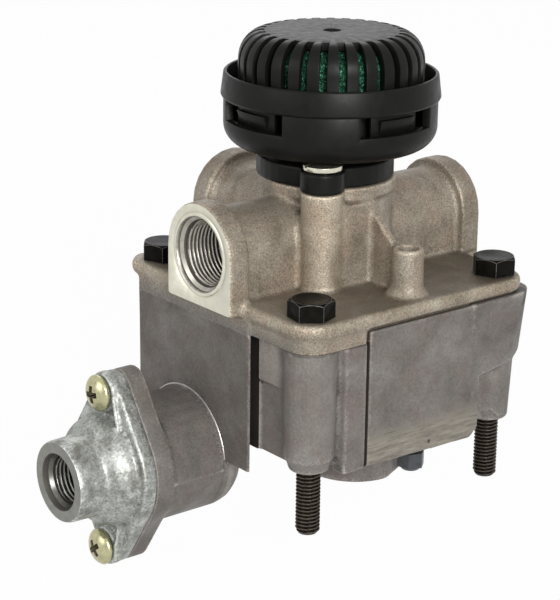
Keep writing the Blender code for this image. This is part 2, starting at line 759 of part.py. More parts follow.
def makeBolts():
    facing = atan2(-0.78, -0.626)
    names = ["bolt_front", "bolt_right", "bolt_rear", "bolt_left"]
    for i, ((x, y), name) in enumerate(zip(corners, names)):
        seat = flangeTop + gap
        turn = facing + (pi / 6 if i in (1, 3) else 0)
        head = hexagon(boltHeadFlats, seat, seat + boltHeadHeight, (x, y), turn)
        crown = turned([
            (0, seat + boltHeadHeight + 1 * mm), (boltHeadFlats / 2 - 1.2 * mm,
             seat + boltHeadHeight + 0.02 * mm), (boltHeadFlats / 2 + 2.6 * mm,
             seat + boltHeadHeight - 1.9 * mm), (boltHeadFlats / 2 + 2.6 * mm, seat - 1 * mm),
            (0, seat - 1 * mm)], 24, (x, y, 0))
        both = head.modifiers.new("crown", "BOOLEAN")
        both.operation = "INTERSECT"
        both.object = crown
        both.solver = "EXACT"
        bpy.context.view_layer.update()
        head = baked(head)
        bpy.data.objects.remove(crown, do_unlink=True)
        shank = turned([
            (0, seat + 1 * mm), (boltRadius, seat + 1 * mm),
            (boltRadius, seat - boltLength + boltTipChamfer),
            (boltRadius - boltTipChamfer, seat - boltLength), (0, seat - boltLength)],
            16, (x, y, 0))
        finish(joined(head, shank), name, steelBlack)


def makePlug():
    x, y = plugSpot
    top = plugFoot + plugHeadHeight
    head = hexagon(plugFlats, plugFoot + 1.5 * mm, top, (x, y), radians(10))
    nose = turned([(0, top - 0.5 * mm), (plugFlats * 0.49, top - 0.5 * mm),
                   (plugFlats * 0.49, plugFoot + 1.6 * mm), (plugFlats * 0.36, plugFoot + 0.3 * mm),
                   (plugFlats * 0.25, plugFoot), (0, plugFoot)], 18, (x, y, 0))
    shank = rod(plugShankRadius, top - 1 * mm, top + plugShankLength, (x, y), 12)
    finish(joined(head, nose, shank), "passage_plug", plugSteel)


def makeHousingSeal():
    seal = sealRing(housingSealRadius, lowerTop - sealRadius, 36)
    finish(seal, "housing_seal", rubber)


def makePiston():
    outer = pistonBoreRadius - slideClearance
    foot = pistonTop - pistonThickness
    stemFoot = stemBoreFloor + gap
    rise = facingFoot - gap - exhaustGap
    grooveTop = pistonTop - 3 * mm
    grooveFloor = outer - 2 * sealRadius
    profile = [
        (0, rise - 4 * mm), (exhaustSeatRadius - 1.8 * mm, rise - 4 * mm),
        (exhaustSeatRadius - 1.2 * mm, rise), (exhaustSeatRadius - 0.3 * mm, rise),
        (exhaustSeatRadius, rise - 0.6 * mm), (exhaustSeatRadius, pistonTop + 5 * mm),
        (pistonStemRadius + 1.5 * mm, pistonTop), (outer - 0.6 * mm, pistonTop),
        (outer, pistonTop - 0.6 * mm), (outer, grooveTop), (grooveFloor, grooveTop),
        (grooveFloor, grooveTop - sealGroove), (outer, grooveTop - sealGroove),
        (outer, foot), (outer - 4.5 * mm, foot), (outer - 4.5 * mm, pistonTop - pistonWeb),
        (pistonStemRadius + 2 * mm, pistonTop - pistonWeb), (pistonStemRadius, foot),
        (pistonStemRadius, stemFoot + 1 * mm), (pistonStemRadius - 1 * mm, stemFoot),
        (0, stemFoot)]
    finish(turned(profile, 28), "relay_piston", machined)
    seal = sealRing(grooveFloor + sealRadius + 0.15 * mm,
                    grooveTop - sealGroove / 2, 28)
    finish(seal, "piston_seal", rubber)


def makeValve():
    tube = turned([
        (tubeBore, tubeTop), (tubeRadius, tubeTop), (tubeRadius, discFoot + discThickness + 1 * mm),
        (tubeRadius + 0.8 * mm, discFoot + discThickness), (discRadius, discFoot + discThickness),
        (discRadius, discFoot), (tubeBore + 1.1 * mm, discFoot),
        (tubeBore + 1.1 * mm, facingFoot + 0.6 * mm), (tubeBore, facingFoot + 0.6 * mm)], 20)
    finish(tube, "valve_tube", machined)
    facing = turned([
        (tubeBore + 1.4 * mm, discFoot - gap), (facingRadius, discFoot - gap),
        (facingRadius, facingFoot + 0.3 * mm), (facingRadius - 0.3 * mm, facingFoot),
        (tubeBore - 0.6 * mm, facingFoot), (tubeBore - 0.6 * mm, facingFoot + 0.3 * mm),
        (tubeBore + 1.4 * mm, facingFoot + 0.3 * mm)], 20)
    finish(facing, "valve_facing", rubber)


def makeGuide():
    outer = guideBoreRadius - gap
    foot = guideSeat + gap
    grooveTop = guideTop - 2.4 * mm
    grooveFloor = outer - 2 * sealRadius
    bore = tubeRadius + slideClearance
    pocket = springRadius + springWire + 0.6 * mm
    guide = turned([
        (bore, guideTop), (outer - 0.4 * mm, guideTop), (outer, guideTop - 0.4 * mm),
        (outer, grooveTop), (grooveFloor, grooveTop), (grooveFloor, grooveTop - sealGroove),
        (outer, grooveTop - sealGroove), (outer, foot), (pocket, foot),
        (pocket, foot + guidePocket), (bore, foot + guidePocket)], 24)
    finish(guide, "valve_guide", plasticGuide)
    seal = sealRing(grooveFloor + sealRadius + 0.15 * mm,
                    grooveTop - sealGroove / 2, 24)
    finish(seal, "guide_seal", rubber)
    low = discFoot + discThickness + gap + springWire
    high = foot + guidePocket - gap - springWire
    makeSpring(low, high)
    ringFoot = guideTop + gap
    openRing = turned([
        (guideBoreRadius - ringDepth, ringFoot + ringThickness),
        (guideBoreRadius + ringGroove - gap, ringFoot + ringThickness),
        (guideBoreRadius + ringGroove - gap, ringFoot), (guideBoreRadius - ringDepth, ringFoot)], 32)
    opening = block((-ringOpening / 2, guideBoreRadius - 2 * ringDepth, ringFoot - ringThickness),
                    (ringOpening / 2, guideBoreRadius + ringDepth, ringFoot + 2 * ringThickness))
    finish(cut(openRing, opening), "retaining_ring", springSteel)


def makeSpring(low, high):
    curve = bpy.data.curves.new("spring", "CURVE")
    curve.dimensions = "3D"
    curve.bevel_depth = springWire
    curve.bevel_resolution = 2
    curve.use_fill_caps = True
    perTurn = 12
    count = int(springTurns * perTurn)
    spline = curve.splines.new("POLY")
    spline.points.add(count)
    for i, point in enumerate(spline.points):
        turn = 2 * pi * i / perTurn
        # the end turns lie nearly flat
        t = i / count
        rise = t + 0.09 * sin(-2 * pi * t)
        point.co = (springRadius * cos(turn), springRadius * sin(turn),
                    low + (high - low) * rise, 1)
    obj = bpy.data.objects.new("valve_spring", curve)
    guides.objects.link(obj)
    bpy.context.view_layer.update()
    finish(baked(obj), "valve_spring", springSteel, 60)


def makeSilencerBase():
    plate = rod(basePlateRadius, baseFoot, baseTop, basePlateShift, 40)
    lugs = [rod(lugRadius, baseFoot, baseTop, (s * postOffset, s * postOffset), 24)
            for s in (-1, 1)]
    plate = softened(joined(plate, *lugs), 0.8 * mm, 2)
    spigotTop = bowlFloor + bowlWall + spigotRise
    airwayRadius = spigotRadius - neckWall
    neck = turned([
        (0, spigotTop), (spigotRadius, spigotTop), (spigotRadius, bowlFloor - gap),
        (neckRadius, bowlFloor - gap), (neckRadius + gap, baseTop - gap), (0, baseTop - gap)], 36)
    body = joined(plate, neck)
    airway = turned([
        (0, spigotTop + gap), (airwayRadius, spigotTop + gap),
        (airwayRadius, baseFoot + basePlateHeight / 2), (guideBoreRadius, baseFoot - gap),
        (0, baseFoot - gap)], 28)
    holes = [rod(topScrewRadius + boltClearance, baseFoot - 1 * mm, baseTop + 1 * mm,
                 (s * postOffset, s * postOffset), 12) for s in (-1, 1)]
    heads = [rod(topHeadRadius + 0.4 * mm, baseTop, bowlFloor + 1 * mm,
                 (s * postOffset, s * postOffset), 20) for s in (-1, 1)]
    finish(cut(body, airway, *holes, *heads), "silencer_base", plasticBlack)
    for sign, name in ((-1, "silencer_screw_front"), (1, "silencer_screw_rear")):
        makePanScrew(name, (sign * postOffset, sign * postOffset, 0), (0, 0, 1),
                     baseTop + gap, topScrewRadius, topHeadRadius, topHeadHeight,
                     topScrewLength, zincWhite)


def quarterSectors(near, far, angle, low, high, steps=4):
    # the same arched block in all four directions
    spread = radians(angle) / 2
    blocks = []
    for quarter in range(4):
        centre = quarter * pi / 2
        inside = arc((0, 0), near, centre - spread, centre + spread, steps)
        outside = arc((0, 0), far, centre + spread, centre - spread, steps)
        blocks.append(flat(inside + outside, low, high))
    return blocks


def makeBowl():
    inner = bowlRadius - bowlWall
    hole = spigotRadius + gap
    floorTop = bowlFloor + bowlWall
    outside = [(bowlRadius - bowlRounding + bowlRounding * cos(a),
                bowlFloor + bowlRounding - bowlRounding * sin(a))
               for a in [i * pi / 10 for i in range(6)]]
    inRounding = bowlRounding - bowlWall
    inside = [(inner - inRounding + inRounding * cos(a), floorTop + inRounding * (1 - sin(a)))
              for a in [i * pi / 4 for i in range(3)]]
    standFoot = filterStand - filterStandWall
    stand = [(standFoot, floorTop), (standFoot, bowlTop), (filterStand, bowlTop),
             (filterStand, floorTop)]
    bowl = turned([(bowlRadius, bowlTop)] + outside + [(hole, bowlFloor), (hole, floorTop)]
                  + stand + inside[::-1] + [(inner, bowlTop)], 40)
    windows = quarterSectors(inner - bowlWall / 2, bowlRadius + bowlWall, windowAngle,
                             windowLow, bowlTop + bowlWall)
    finish(cut(bowl, *windows), "silencer_bowl", plasticBlack)


def capCurve(radius, flatRadius, shoulder, top, steps=6):
    # quarter ellipse from the side of the cap over to its flat top
    return [(flatRadius + (radius - flatRadius) * cos(a), shoulder + (top - shoulder) * sin(a))
            for a in [i * pi / 2 / steps for i in range(steps + 1)]]


def makeCover():
    outer = capCurve(capRadius, capFlat, capShoulder, capTop, 6)
    inner = capCurve(capRadius - capWall, capFlat - capWall / 2, capShoulder, capTop - capWall, 3)
    legRadius = bowlRadius - bowlWall - gap
    channel = coverRingTop - channelDepth
    ringInside = coverRing - coverRingWall
    profile = ([(0, capTop)] + outer[::-1]
               + [(capRadius, channel), (ringInside - coverRingWall / 2, channel),
                  (ringInside - gap, coverRingTop), (coverRing - coverOverhang - gap, coverRingTop),
                  (coverRing - coverOverhang, coverRingTop - gap), (coverRing, coverFoot + 2 * gap),
                  (coverRing - gap, coverFoot),
                  (capRadius - capWall, coverFoot)]
               + inner + [(0, capTop - capWall)])
    cover = turned(profile, slotCount)
    tabs = quarterSectors(legRadius - tabWall, legRadius, tabAngle,
                          coverFoot - tabLength, coverFoot + gap, 3)
    hookTop = windowLow + windowHeight * 0.75
    hooks = quarterSectors(legRadius - tabWall / 2, legRadius + hookRise, hookAngle,
                           windowLow + gap, hookTop, 2)
    slots = []
    for i in range(slotCount):
        turn = 2 * pi * (i + 0.5) / slotCount
        slot = block((slotInner, -slotWidth / 2, channel + gap),
                     (capRadius + gap, slotWidth / 2, capTop + capWall))
        slots.append(stood(slot, Matrix.Rotation(turn, 4, "Z")))
    comb = joinedMeshes(slots)
    dimple = rod(capDimpleRadius, capTop - capDimpleDepth, capTop + capWall, sides=24)
    cover = stood(cut(cover, comb, dimple), Matrix.Rotation(radians(slotTurn), 4, "Z"))
    finish(cut(joined(cover, *tabs, *hooks)), "silencer_cover", plasticBlack)


def joinedMeshes(objects):
    # one mesh of separate bodies, as one cutter
    bm = bmesh.new()
    for obj in objects:
        bm.from_mesh(obj.data)
        bpy.data.objects.remove(obj, do_unlink=True)
    mesh = bpy.data.meshes.new("comb")
    bm.to_mesh(mesh)
    bm.free()
    obj = bpy.data.objects.new("comb", mesh)
    guides.objects.link(obj)
    return register(obj, "comb")


def makeFilter():
    outer = capRadius - capWall - gap
    foot = bowlTop + gap
    top = capTop - capWall - gap
    over = capCurve(outer, capFlat - capWall, capShoulder - gap, top, 4)
    filterBody = turned([(0, top)] + over[::-1] + [(outer, foot), (outer - filterWall, foot),
                        (outer - filterWall, top - filterWall), (0, top - filterWall)], 28)
    finish(filterBody, "silencer_filter", knit)


makeUpperHousing()
makeLowerHousing()
makeAdaptor()
makeBolts()
makePlug()
makeHousingSeal()
makePiston()
makeValve()
makeGuide()
makeSilencerBase()
makeBowl()
makeCover()
makeFilter()
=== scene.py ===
import bpy
import bmesh
import numpy as np
from math import atan2, cos, pi, radians, sin, sqrt
from mathutils import Matrix, Vector


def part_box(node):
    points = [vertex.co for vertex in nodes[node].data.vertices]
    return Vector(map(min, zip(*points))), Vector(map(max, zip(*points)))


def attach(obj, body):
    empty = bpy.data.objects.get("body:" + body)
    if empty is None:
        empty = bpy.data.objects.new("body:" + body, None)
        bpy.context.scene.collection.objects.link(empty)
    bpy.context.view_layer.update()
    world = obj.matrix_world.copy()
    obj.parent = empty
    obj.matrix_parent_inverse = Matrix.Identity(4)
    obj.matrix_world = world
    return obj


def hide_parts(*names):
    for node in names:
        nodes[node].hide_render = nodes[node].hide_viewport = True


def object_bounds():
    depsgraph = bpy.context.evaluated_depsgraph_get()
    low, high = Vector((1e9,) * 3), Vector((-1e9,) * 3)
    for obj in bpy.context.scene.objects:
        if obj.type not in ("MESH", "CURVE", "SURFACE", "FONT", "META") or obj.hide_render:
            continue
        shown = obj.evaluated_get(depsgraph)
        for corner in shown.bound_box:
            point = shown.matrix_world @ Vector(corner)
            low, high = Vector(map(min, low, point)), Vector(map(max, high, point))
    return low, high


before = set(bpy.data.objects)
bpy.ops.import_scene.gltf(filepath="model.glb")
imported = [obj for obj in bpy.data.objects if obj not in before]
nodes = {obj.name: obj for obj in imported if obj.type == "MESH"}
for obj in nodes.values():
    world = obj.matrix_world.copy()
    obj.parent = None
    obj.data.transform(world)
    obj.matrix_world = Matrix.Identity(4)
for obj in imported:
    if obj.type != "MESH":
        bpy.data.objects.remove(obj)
cadLow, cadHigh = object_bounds()
mm = 0.001
touching = 1e-7  # points closer than this count as one
print("frame loaded:", len(nodes), "solids")


# finishes: each has its own noise, so that no surface is one flat colour
def startMaterial(name, colour, roughness, metallic):
    mat = bpy.data.materials.new(name)
    mat.use_nodes = True
    shader = mat.node_tree.nodes["Principled BSDF"]
    shader.inputs["Base Color"].default_value = (*colour, 1)
    shader.inputs["Roughness"].default_value = roughness
    shader.inputs["Metallic"].default_value = metallic
    return mat, mat.node_tree, shader


def objectPlace(tree, scale=(1, 1, 1), turn=(0, 0, 0), move=(0, 0, 0)):
    place = tree.nodes.new("ShaderNodeTexCoord")
    mapping = tree.nodes.new("ShaderNodeMapping")
    mapping.inputs["Scale"].default_value = scale
    mapping.inputs["Rotation"].default_value = turn
    mapping.inputs["Location"].default_value = move
    tree.links.new(place.outputs["Object"], mapping.inputs["Vector"])
    return mapping.outputs["Vector"]


def noise(tree, size, detail=3, rough=0.55, place=None, distortion=0):
    # size is the blotch size in mm
    node = tree.nodes.new("ShaderNodeTexNoise")
    node.inputs["Scale"].default_value = 1000 / size
    node.inputs["Detail"].default_value = detail
    node.inputs["Roughness"].default_value = rough
    node.inputs["Distortion"].default_value = distortion
    tree.links.new(place or objectPlace(tree), node.inputs["Vector"])
    return node.outputs["Fac"]


def ramp(tree, value, stops):
    # a stop's value is a colour or one grey level
    node = tree.nodes.new("ShaderNodeValToRGB")
    while len(node.color_ramp.elements) < len(stops):
        node.color_ramp.elements.new(0.5)
    for element, (spot, colour) in zip(node.color_ramp.elements, stops):
        element.position = spot
        tone = colour if isinstance(colour, tuple) else (colour, colour, colour)
        element.color = (*tone, 1)
    tree.links.new(value, node.inputs["Fac"])
    return node.outputs["Color"]


def mixed(tree, share, one, two, how="MIX"):
    node = tree.nodes.new("ShaderNodeMix")
    node.data_type = "RGBA"
    node.blend_type = how
    for name, kind, value in (("Factor", "VALUE", share), ("A", "RGBA", one), ("B", "RGBA", two)):
        plug = [s for s in node.inputs if s.name == name and s.type == kind][0]
        if isinstance(value, bpy.types.NodeSocket):
            tree.links.new(value, plug)
        else:
            plug.default_value = value if kind == "VALUE" else (*value, 1)
    return [s for s in node.outputs if s.name == "Result" and s.type == "RGBA"][0]


def tinted(tree, share, tone, colour):
    # the tone times a colour, where the share says so
    return mixed(tree, share, tone, mixed(tree, 1.0, tone, colour, "MULTIPLY"))


def sums(tree, how, one, two=0.0):
    node = tree.nodes.new("ShaderNodeMath")
    node.operation = how
    for socket, value in zip(node.inputs, (one, two)):
        if isinstance(value, bpy.types.NodeSocket):
            tree.links.new(value, socket)
        else:
            socket.default_value = value
    return node.outputs[0]


def times(tree, one, two):
    return sums(tree, "MULTIPLY", one, two)


def zone(tree, length, edges, values=(0, 1), way=1, span=100):
    # a ramp along a length of the part: one value at each edge, edges and span in mm
    return ramp(tree, times(tree, length, way * 1000 / span), [(e / span, v) for e, v in zip(edges, values)])


def axes(tree):
    node = tree.nodes.new("ShaderNodeSeparateXYZ")
    tree.links.new(objectPlace(tree), node.inputs[0])
    return node.outputs["X"], node.outputs["Y"], node.outputs["Z"]


def outward(tree, x, y):
    # how far out on a square round the axis
    return sums(tree, "MAXIMUM", sums(tree, "ABSOLUTE", x), sums(tree, "ABSOLUTE", y))


def bumps(tree, shader, height, depth, below=None):
    # depth in mm
    node = tree.nodes.new("ShaderNodeBump")
    node.inputs["Strength"].default_value = 1
    node.inputs["Distance"].default_value = depth * mm
    tree.links.new(height, node.inputs["Height"])
    if below:
        tree.links.new(below, node.inputs["Normal"])
    tree.links.new(node.outputs["Normal"], shader.inputs["Normal"])
    return node.outputs["Normal"]


def wearAndShadeOf(tree):
    # the castings carry a value per point: above 0.5 on outer edges, below it in corners, for rubbed edges
    # with painted highlight and painted shade in corners
    node = tree.nodes.new("ShaderNodeAttribute")
    node.attribute_name = "wear_and_shade"
    return node.outputs["Fac"]


# where the lower casting's finish and its painted light and shade change, in mm, and how its streaks run, in
# degrees
wallZones = {"face": (47.15, 47.65), "scuffTop": (28.8, 33.6), "scuffWave": 12, "scuffFace": (47.1, 47.6),
             "streakSize": 1.2, "streakStretch": (0.12, 1, 1), "streakTurn": 7, "pitShade": (4, -48, 17.6),
             "pitEdge": (0.45, 0.85), "leftWall": (47.5, 47.65, 48.15, 48.3), "joint": (55.45, 55.9),
             "jointFace": (47.55, 47.65), "pocket": (42.5, 43.5, 45.2, 45.8), "pocketEnd": (29, 31)}
unchanged = (1, 1, 1)


def wallMarks(tree, tone, look):
    x, y, z = axes(tree)
    out = outward(tree, x, y)
    edges = wallZones
    # the flat outer walls came off the die smoother and darker than what lies between them
    flat = zone(tree, out, edges["face"], (unchanged, look["plate"]))
    tone = mixed(tree, 1.0, tone, flat, "MULTIPLY")
    # handling has scuffed the foot of the right wall along its length
    along = objectPlace(tree, edges["streakStretch"], (0, radians(edges["streakTurn"]), 0))
    streaks = noise(tree, edges["streakSize"], 4, 0.7, along)
    height = sums(tree, "ADD", z, times(tree, streaks, edges["scuffWave"] * mm))
    band = times(tree, zone(tree, height, edges["scuffTop"], (1, 0), span=40),
                 zone(tree, y, edges["scuffFace"], way=-1))
    rubbed = ramp(tree, streaks, [(0.34, look["scuffDark"]), (0.62, look["scuff"])])
    tone = mixed(tree, times(tree, band, look["scuffShare"]), tone, rubbed)
    # a dark spot near the wall's foot: painted shade of a small dent that is not modelled
    away = tree.nodes.new("ShaderNodeVectorMath")
    away.operation = "DISTANCE"
    tree.links.new(objectPlace(tree), away.inputs[0])
    away.inputs[1].default_value = [s * mm for s in edges["pitShade"]]
    pitShade = zone(tree, away.outputs["Value"], edges["pitEdge"], (look["pitShadeShare"], 0), span=10)
    tone = mixed(tree, pitShade, tone, look["pitShade"])
    # the left wall is darker, painted shade on the side turned from the key lamp, and a dark line under the
    # upper casting is painted shade where it overhangs the seam
    leftShade = zone(tree, x, edges["leftWall"], (unchanged, look["leftWall"], look["leftWall"], unchanged),
                way=-1)
    tone = mixed(tree, 1.0, tone, leftShade, "MULTIPLY")
    joint = times(tree, zone(tree, z, edges["joint"]), zone(tree, out, edges["jointFace"], (1, 0)))
    tone = mixed(tree, times(tree, joint, look["jointShadeShare"]), tone, look["joint"])
    # the pocket beside the chamber is lighter: painted light where it sits in shade
    pocket = times(tree, zone(tree, x, edges["pocket"], (0, 1, 1, 0), way=-1),
                   zone(tree, y, edges["pocketEnd"], (1, 0), way=-1))
    return tinted(tree, pocket, tone, look["pocketLight"])


# where the upper casting's finish, its painted shadow and its painted highlight change, in mm; the deck's
# fade is counted from x -50
flangeZones = {"greySide": (45.2, 47.6), "greyFoot": (57, 62.5), "deckShadow": (65.6, 66.1, 66.6, 67.0),
               "deckFade": (15, 42), "rimFace": (46.2, 47.2), "rimHeight": (62.5, 64, 66.2, 66.6),
               "postAcross": (9, 14), "postFront": (28, 36), "postFoot": (66.7, 67.5)}


def flangeMarks(tree, tone, speck, look):
    x, y, z = axes(tree)
    edges = flangeZones
    # the rim's foot on the control side is as grey as the wall below it
    side = zone(tree, x, edges["greySide"], way=-1)
    foot = zone(tree, z, edges["greyFoot"], (1, 0))
    tone = mixed(tree, times(tree, side, foot), tone, mixed(tree, 1.0, speck, look["grey"], "MULTIPLY"))
    # the flange's top is darker away from the control side, a painted shadow of the barrel and silencer; its
    # rim is blasted bright
    deckShadow = times(tree, zone(tree, z, edges["deckShadow"], (0, 1, 1, 0)),
                 zone(tree, sums(tree, "ADD", x, 50 * mm), edges["deckFade"], (look["deckLeast"], 1)))
    tone = tinted(tree, deckShadow, tone, look["deckShadow"])
    rim = times(tree, zone(tree, outward(tree, x, y), edges["rimFace"]),
                zone(tree, z, edges["rimHeight"], (0, 1, 1, 0)))
    tone = tinted(tree, rim, tone, look["rim"])
    # the front post is lighter: a painted highlight where the key lamp glints on it
    across = sums(tree, "ABSOLUTE", sums(tree, "SUBTRACT", x, y))
    front = sums(tree, "ADD", x, y)
    post = times(tree, zone(tree, across, edges["postAcross"], (1, 0)),
                 zone(tree, front, edges["postFront"], way=-1))
    post = times(tree, post, zone(tree, z, edges["postFoot"]))
    return tinted(tree, post, tone, look["post"])


def castMetal(name, look):
    mat, tree, shader = startMaterial(name, look["tone"], look["roughness"], look["metallic"])
    shader.inputs["Specular IOR Level"].default_value = look["gloss"]
    clouds = noise(tree, look["cloudSize"], 4, 0.6, distortion=0.4)
    tone = ramp(tree, clouds, [(0.3, look["shade"]), (0.5, look["tone"]), (0.72, look["light"])])
    patches = noise(tree, look["cloudSize"] * 0.62, 3, 0.5, objectPlace(tree, move=(0.3, 0.1, 0.7)))
    stain = ramp(tree, patches, [(0.47, 0.0), (0.68, look["stainShare"])])
    tone = mixed(tree, stain, tone, look["stain"])
    grain = noise(tree, look["grainSize"], 3, 0.6)
    speck = ramp(tree, grain, [(0.30, 1 - look["speckle"]), (0.5, 1.0), (0.72, 1 + look["speckle"])])
    tone = mixed(tree, 1.0, tone, speck, "MULTIPLY")
    # outer edges get lighter, partly rubbed metal and partly painted highlight; inner corners get darker as
    # painted shade
    edge = sums(tree, "ADD", wearAndShadeOf(tree), times(tree, sums(tree, "SUBTRACT", grain, 0.5), look["chips"]))
    edgeWearAndShade = ramp(tree, edge, [(0.2, look["corner"]), (0.44, 1.0), (0.58, 1.0), (0.85, 1.0 + look["edge"])])
    tone = mixed(tree, 1.0, tone, edgeWearAndShade, "MULTIPLY")
    if "plate" in look:
        tone = wallMarks(tree, tone, look)
    if "grey" in look:
        tone = flangeMarks(tree, tone, speck, look)
    tree.links.new(tone, shader.inputs["Base Color"])
    low, high = look["roughness"] - 0.08, look["roughness"] + 0.1
    tree.links.new(ramp(tree, clouds, [(0.3, high), (0.7, low)]), shader.inputs["Roughness"])
    fine = noise(tree, look["grainSize"] * 0.8, 2, 0.5, objectPlace(tree, move=(0.5, 0, 0)))
    coarse = bumps(tree, shader, noise(tree, look["waveSize"], 3, 0.5), look["waveDepth"])
    bumps(tree, shader, fine, look["grainDepth"], below=coarse)
    return mat


# in each look, corner is the painted shade in inner corners and edge the rubbed metal and painted highlight
# on outer edges
warmLook = {"tone": (0.245, 0.212, 0.165), "shade": (0.165, 0.138, 0.104), "light": (0.325, 0.29, 0.235),
            "stain": (0.27, 0.20, 0.15), "stainShare": 0.5, "roughness": 0.48, "metallic": 0.35,
            "gloss": 0.35, "cloudSize": 12, "grainSize": 0.55, "speckle": 0.42, "grainDepth": 0.14,
            "waveSize": 2.4, "waveDepth": 0.12, "corner": 0.55, "edge": 0.7, "chips": 0.35,
            "grey": (0.16, 0.148, 0.132), "deckShadow": (0.52, 0.50, 0.47), "deckLeast": 0.12,
            "rim": (1.15, 1.15, 1.12), "post": (1.28, 1.26, 1.22)}
darkLook = {"tone": (0.158, 0.145, 0.131), "shade": (0.112, 0.102, 0.093), "light": (0.205, 0.193, 0.18),
            "stain": (0.145, 0.116, 0.108), "stainShare": 0.65, "roughness": 0.54, "metallic": 0.2,
            "gloss": 0.28, "cloudSize": 15, "grainSize": 0.7, "speckle": 0.18, "grainDepth": 0.035,
            "waveSize": 3.5, "waveDepth": 0.07, "corner": 0.4, "edge": 0.9, "chips": 0.45,
            "plate": (0.92, 0.92, 0.915), "leftWall": (0.84, 0.84, 0.835), "pocketLight": (1.5, 1.5, 1.48),
            "scuff": (0.30, 0.275, 0.225), "scuffDark": (0.12, 0.108, 0.092), "scuffShare": 0.75,
            "pitShade": (0.02, 0.018, 0.014), "pitShadeShare": 0.85, "joint": (0.03, 0.027, 0.022), "jointShadeShare": 0.75}
paleLook = {"tone": (0.33, 0.34, 0.32), "shade": (0.22, 0.23, 0.21), "light": (0.46, 0.47, 0.45),
            "stain": (0.14, 0.14, 0.12), "stainShare": 0.75, "roughness": 0.45, "metallic": 0.6, "gloss": 0.5,
            "cloudSize": 8, "grainSize": 0.8, "speckle": 0.42, "grainDepth": 0.07, "waveSize": 2.6,
            "waveDepth": 0.07, "corner": 0.35, "edge": 0.55, "chips": 0.35}
castWarm = castMetal("castWarm", warmLook)
castDark = castMetal("castDark", darkLook)
castPale = castMetal("castPale", paleLook)


def plainFinish(name, tone, roughness, metallic, blotch=6, spread=0.15, grain=0.3, depth=0.01, gloss=0.5):
    # blotch, grain and depth in mm; spread is how far the blotches stray from the tone
    mat, tree, shader = startMaterial(name, tone, roughness, metallic)
    shader.inputs["Specular IOR Level"].default_value = gloss
    clouds = noise(tree, blotch, 4, 0.6)
    low = tuple(c * (1 - spread) for c in tone)
    high = tuple(min(1, c * (1 + spread)) for c in tone)
    tree.links.new(ramp(tree, clouds, [(0.3, low), (0.7, high)]), shader.inputs["Base Color"])
    patches = noise(tree, blotch * 0.5, 3)
    tree.links.new(ramp(tree, patches, [(0.3, roughness - 0.06), (0.7, roughness + 0.08)]),
                   shader.inputs["Roughness"])
    bumps(tree, shader, noise(tree, grain, 2), depth)
    return mat


machined = plainFinish("machined", (0.63, 0.612, 0.51), roughness=0.36, metallic=0.8, blotch=3, spread=0.08,
                       grain=0.25, depth=0.006)
machinedGrey = plainFinish("machinedGrey", (0.21, 0.21, 0.19), roughness=0.36, metallic=0.8, blotch=3,
                           spread=0.15, grain=0.25, depth=0.01)
threadMetal = plainFinish("threadMetal", (0.38, 0.365, 0.32), roughness=0.33, metallic=0.9, blotch=3,
                          spread=0.2, grain=0.4, depth=0.004)
# the bead's bright tone is a painted highlight along the cut's edge
beadHighlight = plainFinish("beadHighlight", (0.42, 0.40, 0.38), roughness=0.35, metallic=0.8, blotch=4, spread=0.3,
                        grain=0.4, depth=0.03)
# the bolt heads' bright edge tone: rubbed steel and painted highlight
wornAndGlintSteel = plainFinish("wornAndGlintSteel", (0.085, 0.082, 0.075), roughness=0.4, metallic=0.4, blotch=0.9,
                        spread=0.8, grain=0.35, depth=0.02, gloss=0.3)
deepShade = plainFinish("deepShade", (0.028, 0.024, 0.021), roughness=0.7, metallic=0.0, gloss=0.1)
softShade = plainFinish("softShade", (0.07, 0.063, 0.055), roughness=0.6, metallic=0.2, gloss=0.2)
blackSteel = plainFinish("blackSteel", (0.0065, 0.0058, 0.0048), roughness=0.2, metallic=0.0, blotch=2.5,
                         spread=0.3, grain=0.35, depth=0.003, gloss=0.03)
threadSteel = plainFinish("threadSteel", (0.062, 0.048, 0.035), roughness=0.4, metallic=0.2, blotch=3,
                          spread=0.15, grain=0.4, depth=0.002, gloss=0.3)
yellowZinc = plainFinish("yellowZinc", (0.44, 0.42, 0.25), roughness=0.27, metallic=0.85, blotch=3,
                         spread=0.2, grain=0.5, depth=0.01)
# dark tone for the screws' crosses and slots: painted shade in the hollows
recessShade = plainFinish("recessShade", (0.045, 0.036, 0.020), roughness=0.45, metallic=0.6, blotch=1.5,
                          spread=0.4)
whiteZinc = plainFinish("whiteZinc", (0.62, 0.60, 0.50), roughness=0.2, metallic=0.95, blotch=3, spread=0.12,
                        grain=0.5, depth=0.008)
springSteel = plainFinish("springSteel", (0.50, 0.50, 0.50), roughness=0.28, metallic=1.0, blotch=3,
                          spread=0.1)
plugMetal = plainFinish("plugMetal", (0.058, 0.060, 0.066), roughness=0.38, metallic=0.5, blotch=2,
                        spread=0.2, grain=0.4, depth=0.02)
blackPlastic = plainFinish("blackPlastic", (0.0054, 0.0054, 0.0048), roughness=0.38, metallic=0.0, blotch=5,
                           gloss=0.115)
guidePlastic = plainFinish("guidePlastic", (0.035, 0.035, 0.036), roughness=0.45, metallic=0.0, blotch=5)
rubber = plainFinish("rubber", (0.018, 0.018, 0.018), roughness=0.7, metallic=0.0, blotch=3, spread=0.2,
                     grain=0.2)
pistonMetal = plainFinish("pistonMetal", (0.52, 0.51, 0.48), roughness=0.35, metallic=0.85, blotch=4,
                          spread=0.1)

# the brightest stop is a painted glint on the knit's strands
knitLook = {"loopSize": 0.62, "roughness": 0.75, "gloss": 0.1, "depth": 0.5,
            "tonesAndGlints": [(0.45, (0.002, 0.006, 0.004)), (0.54, (0.008, 0.07, 0.035)),
                      (0.62, (0.05, 0.28, 0.15)), (0.70, (0.6, 0.8, 0.7))]}


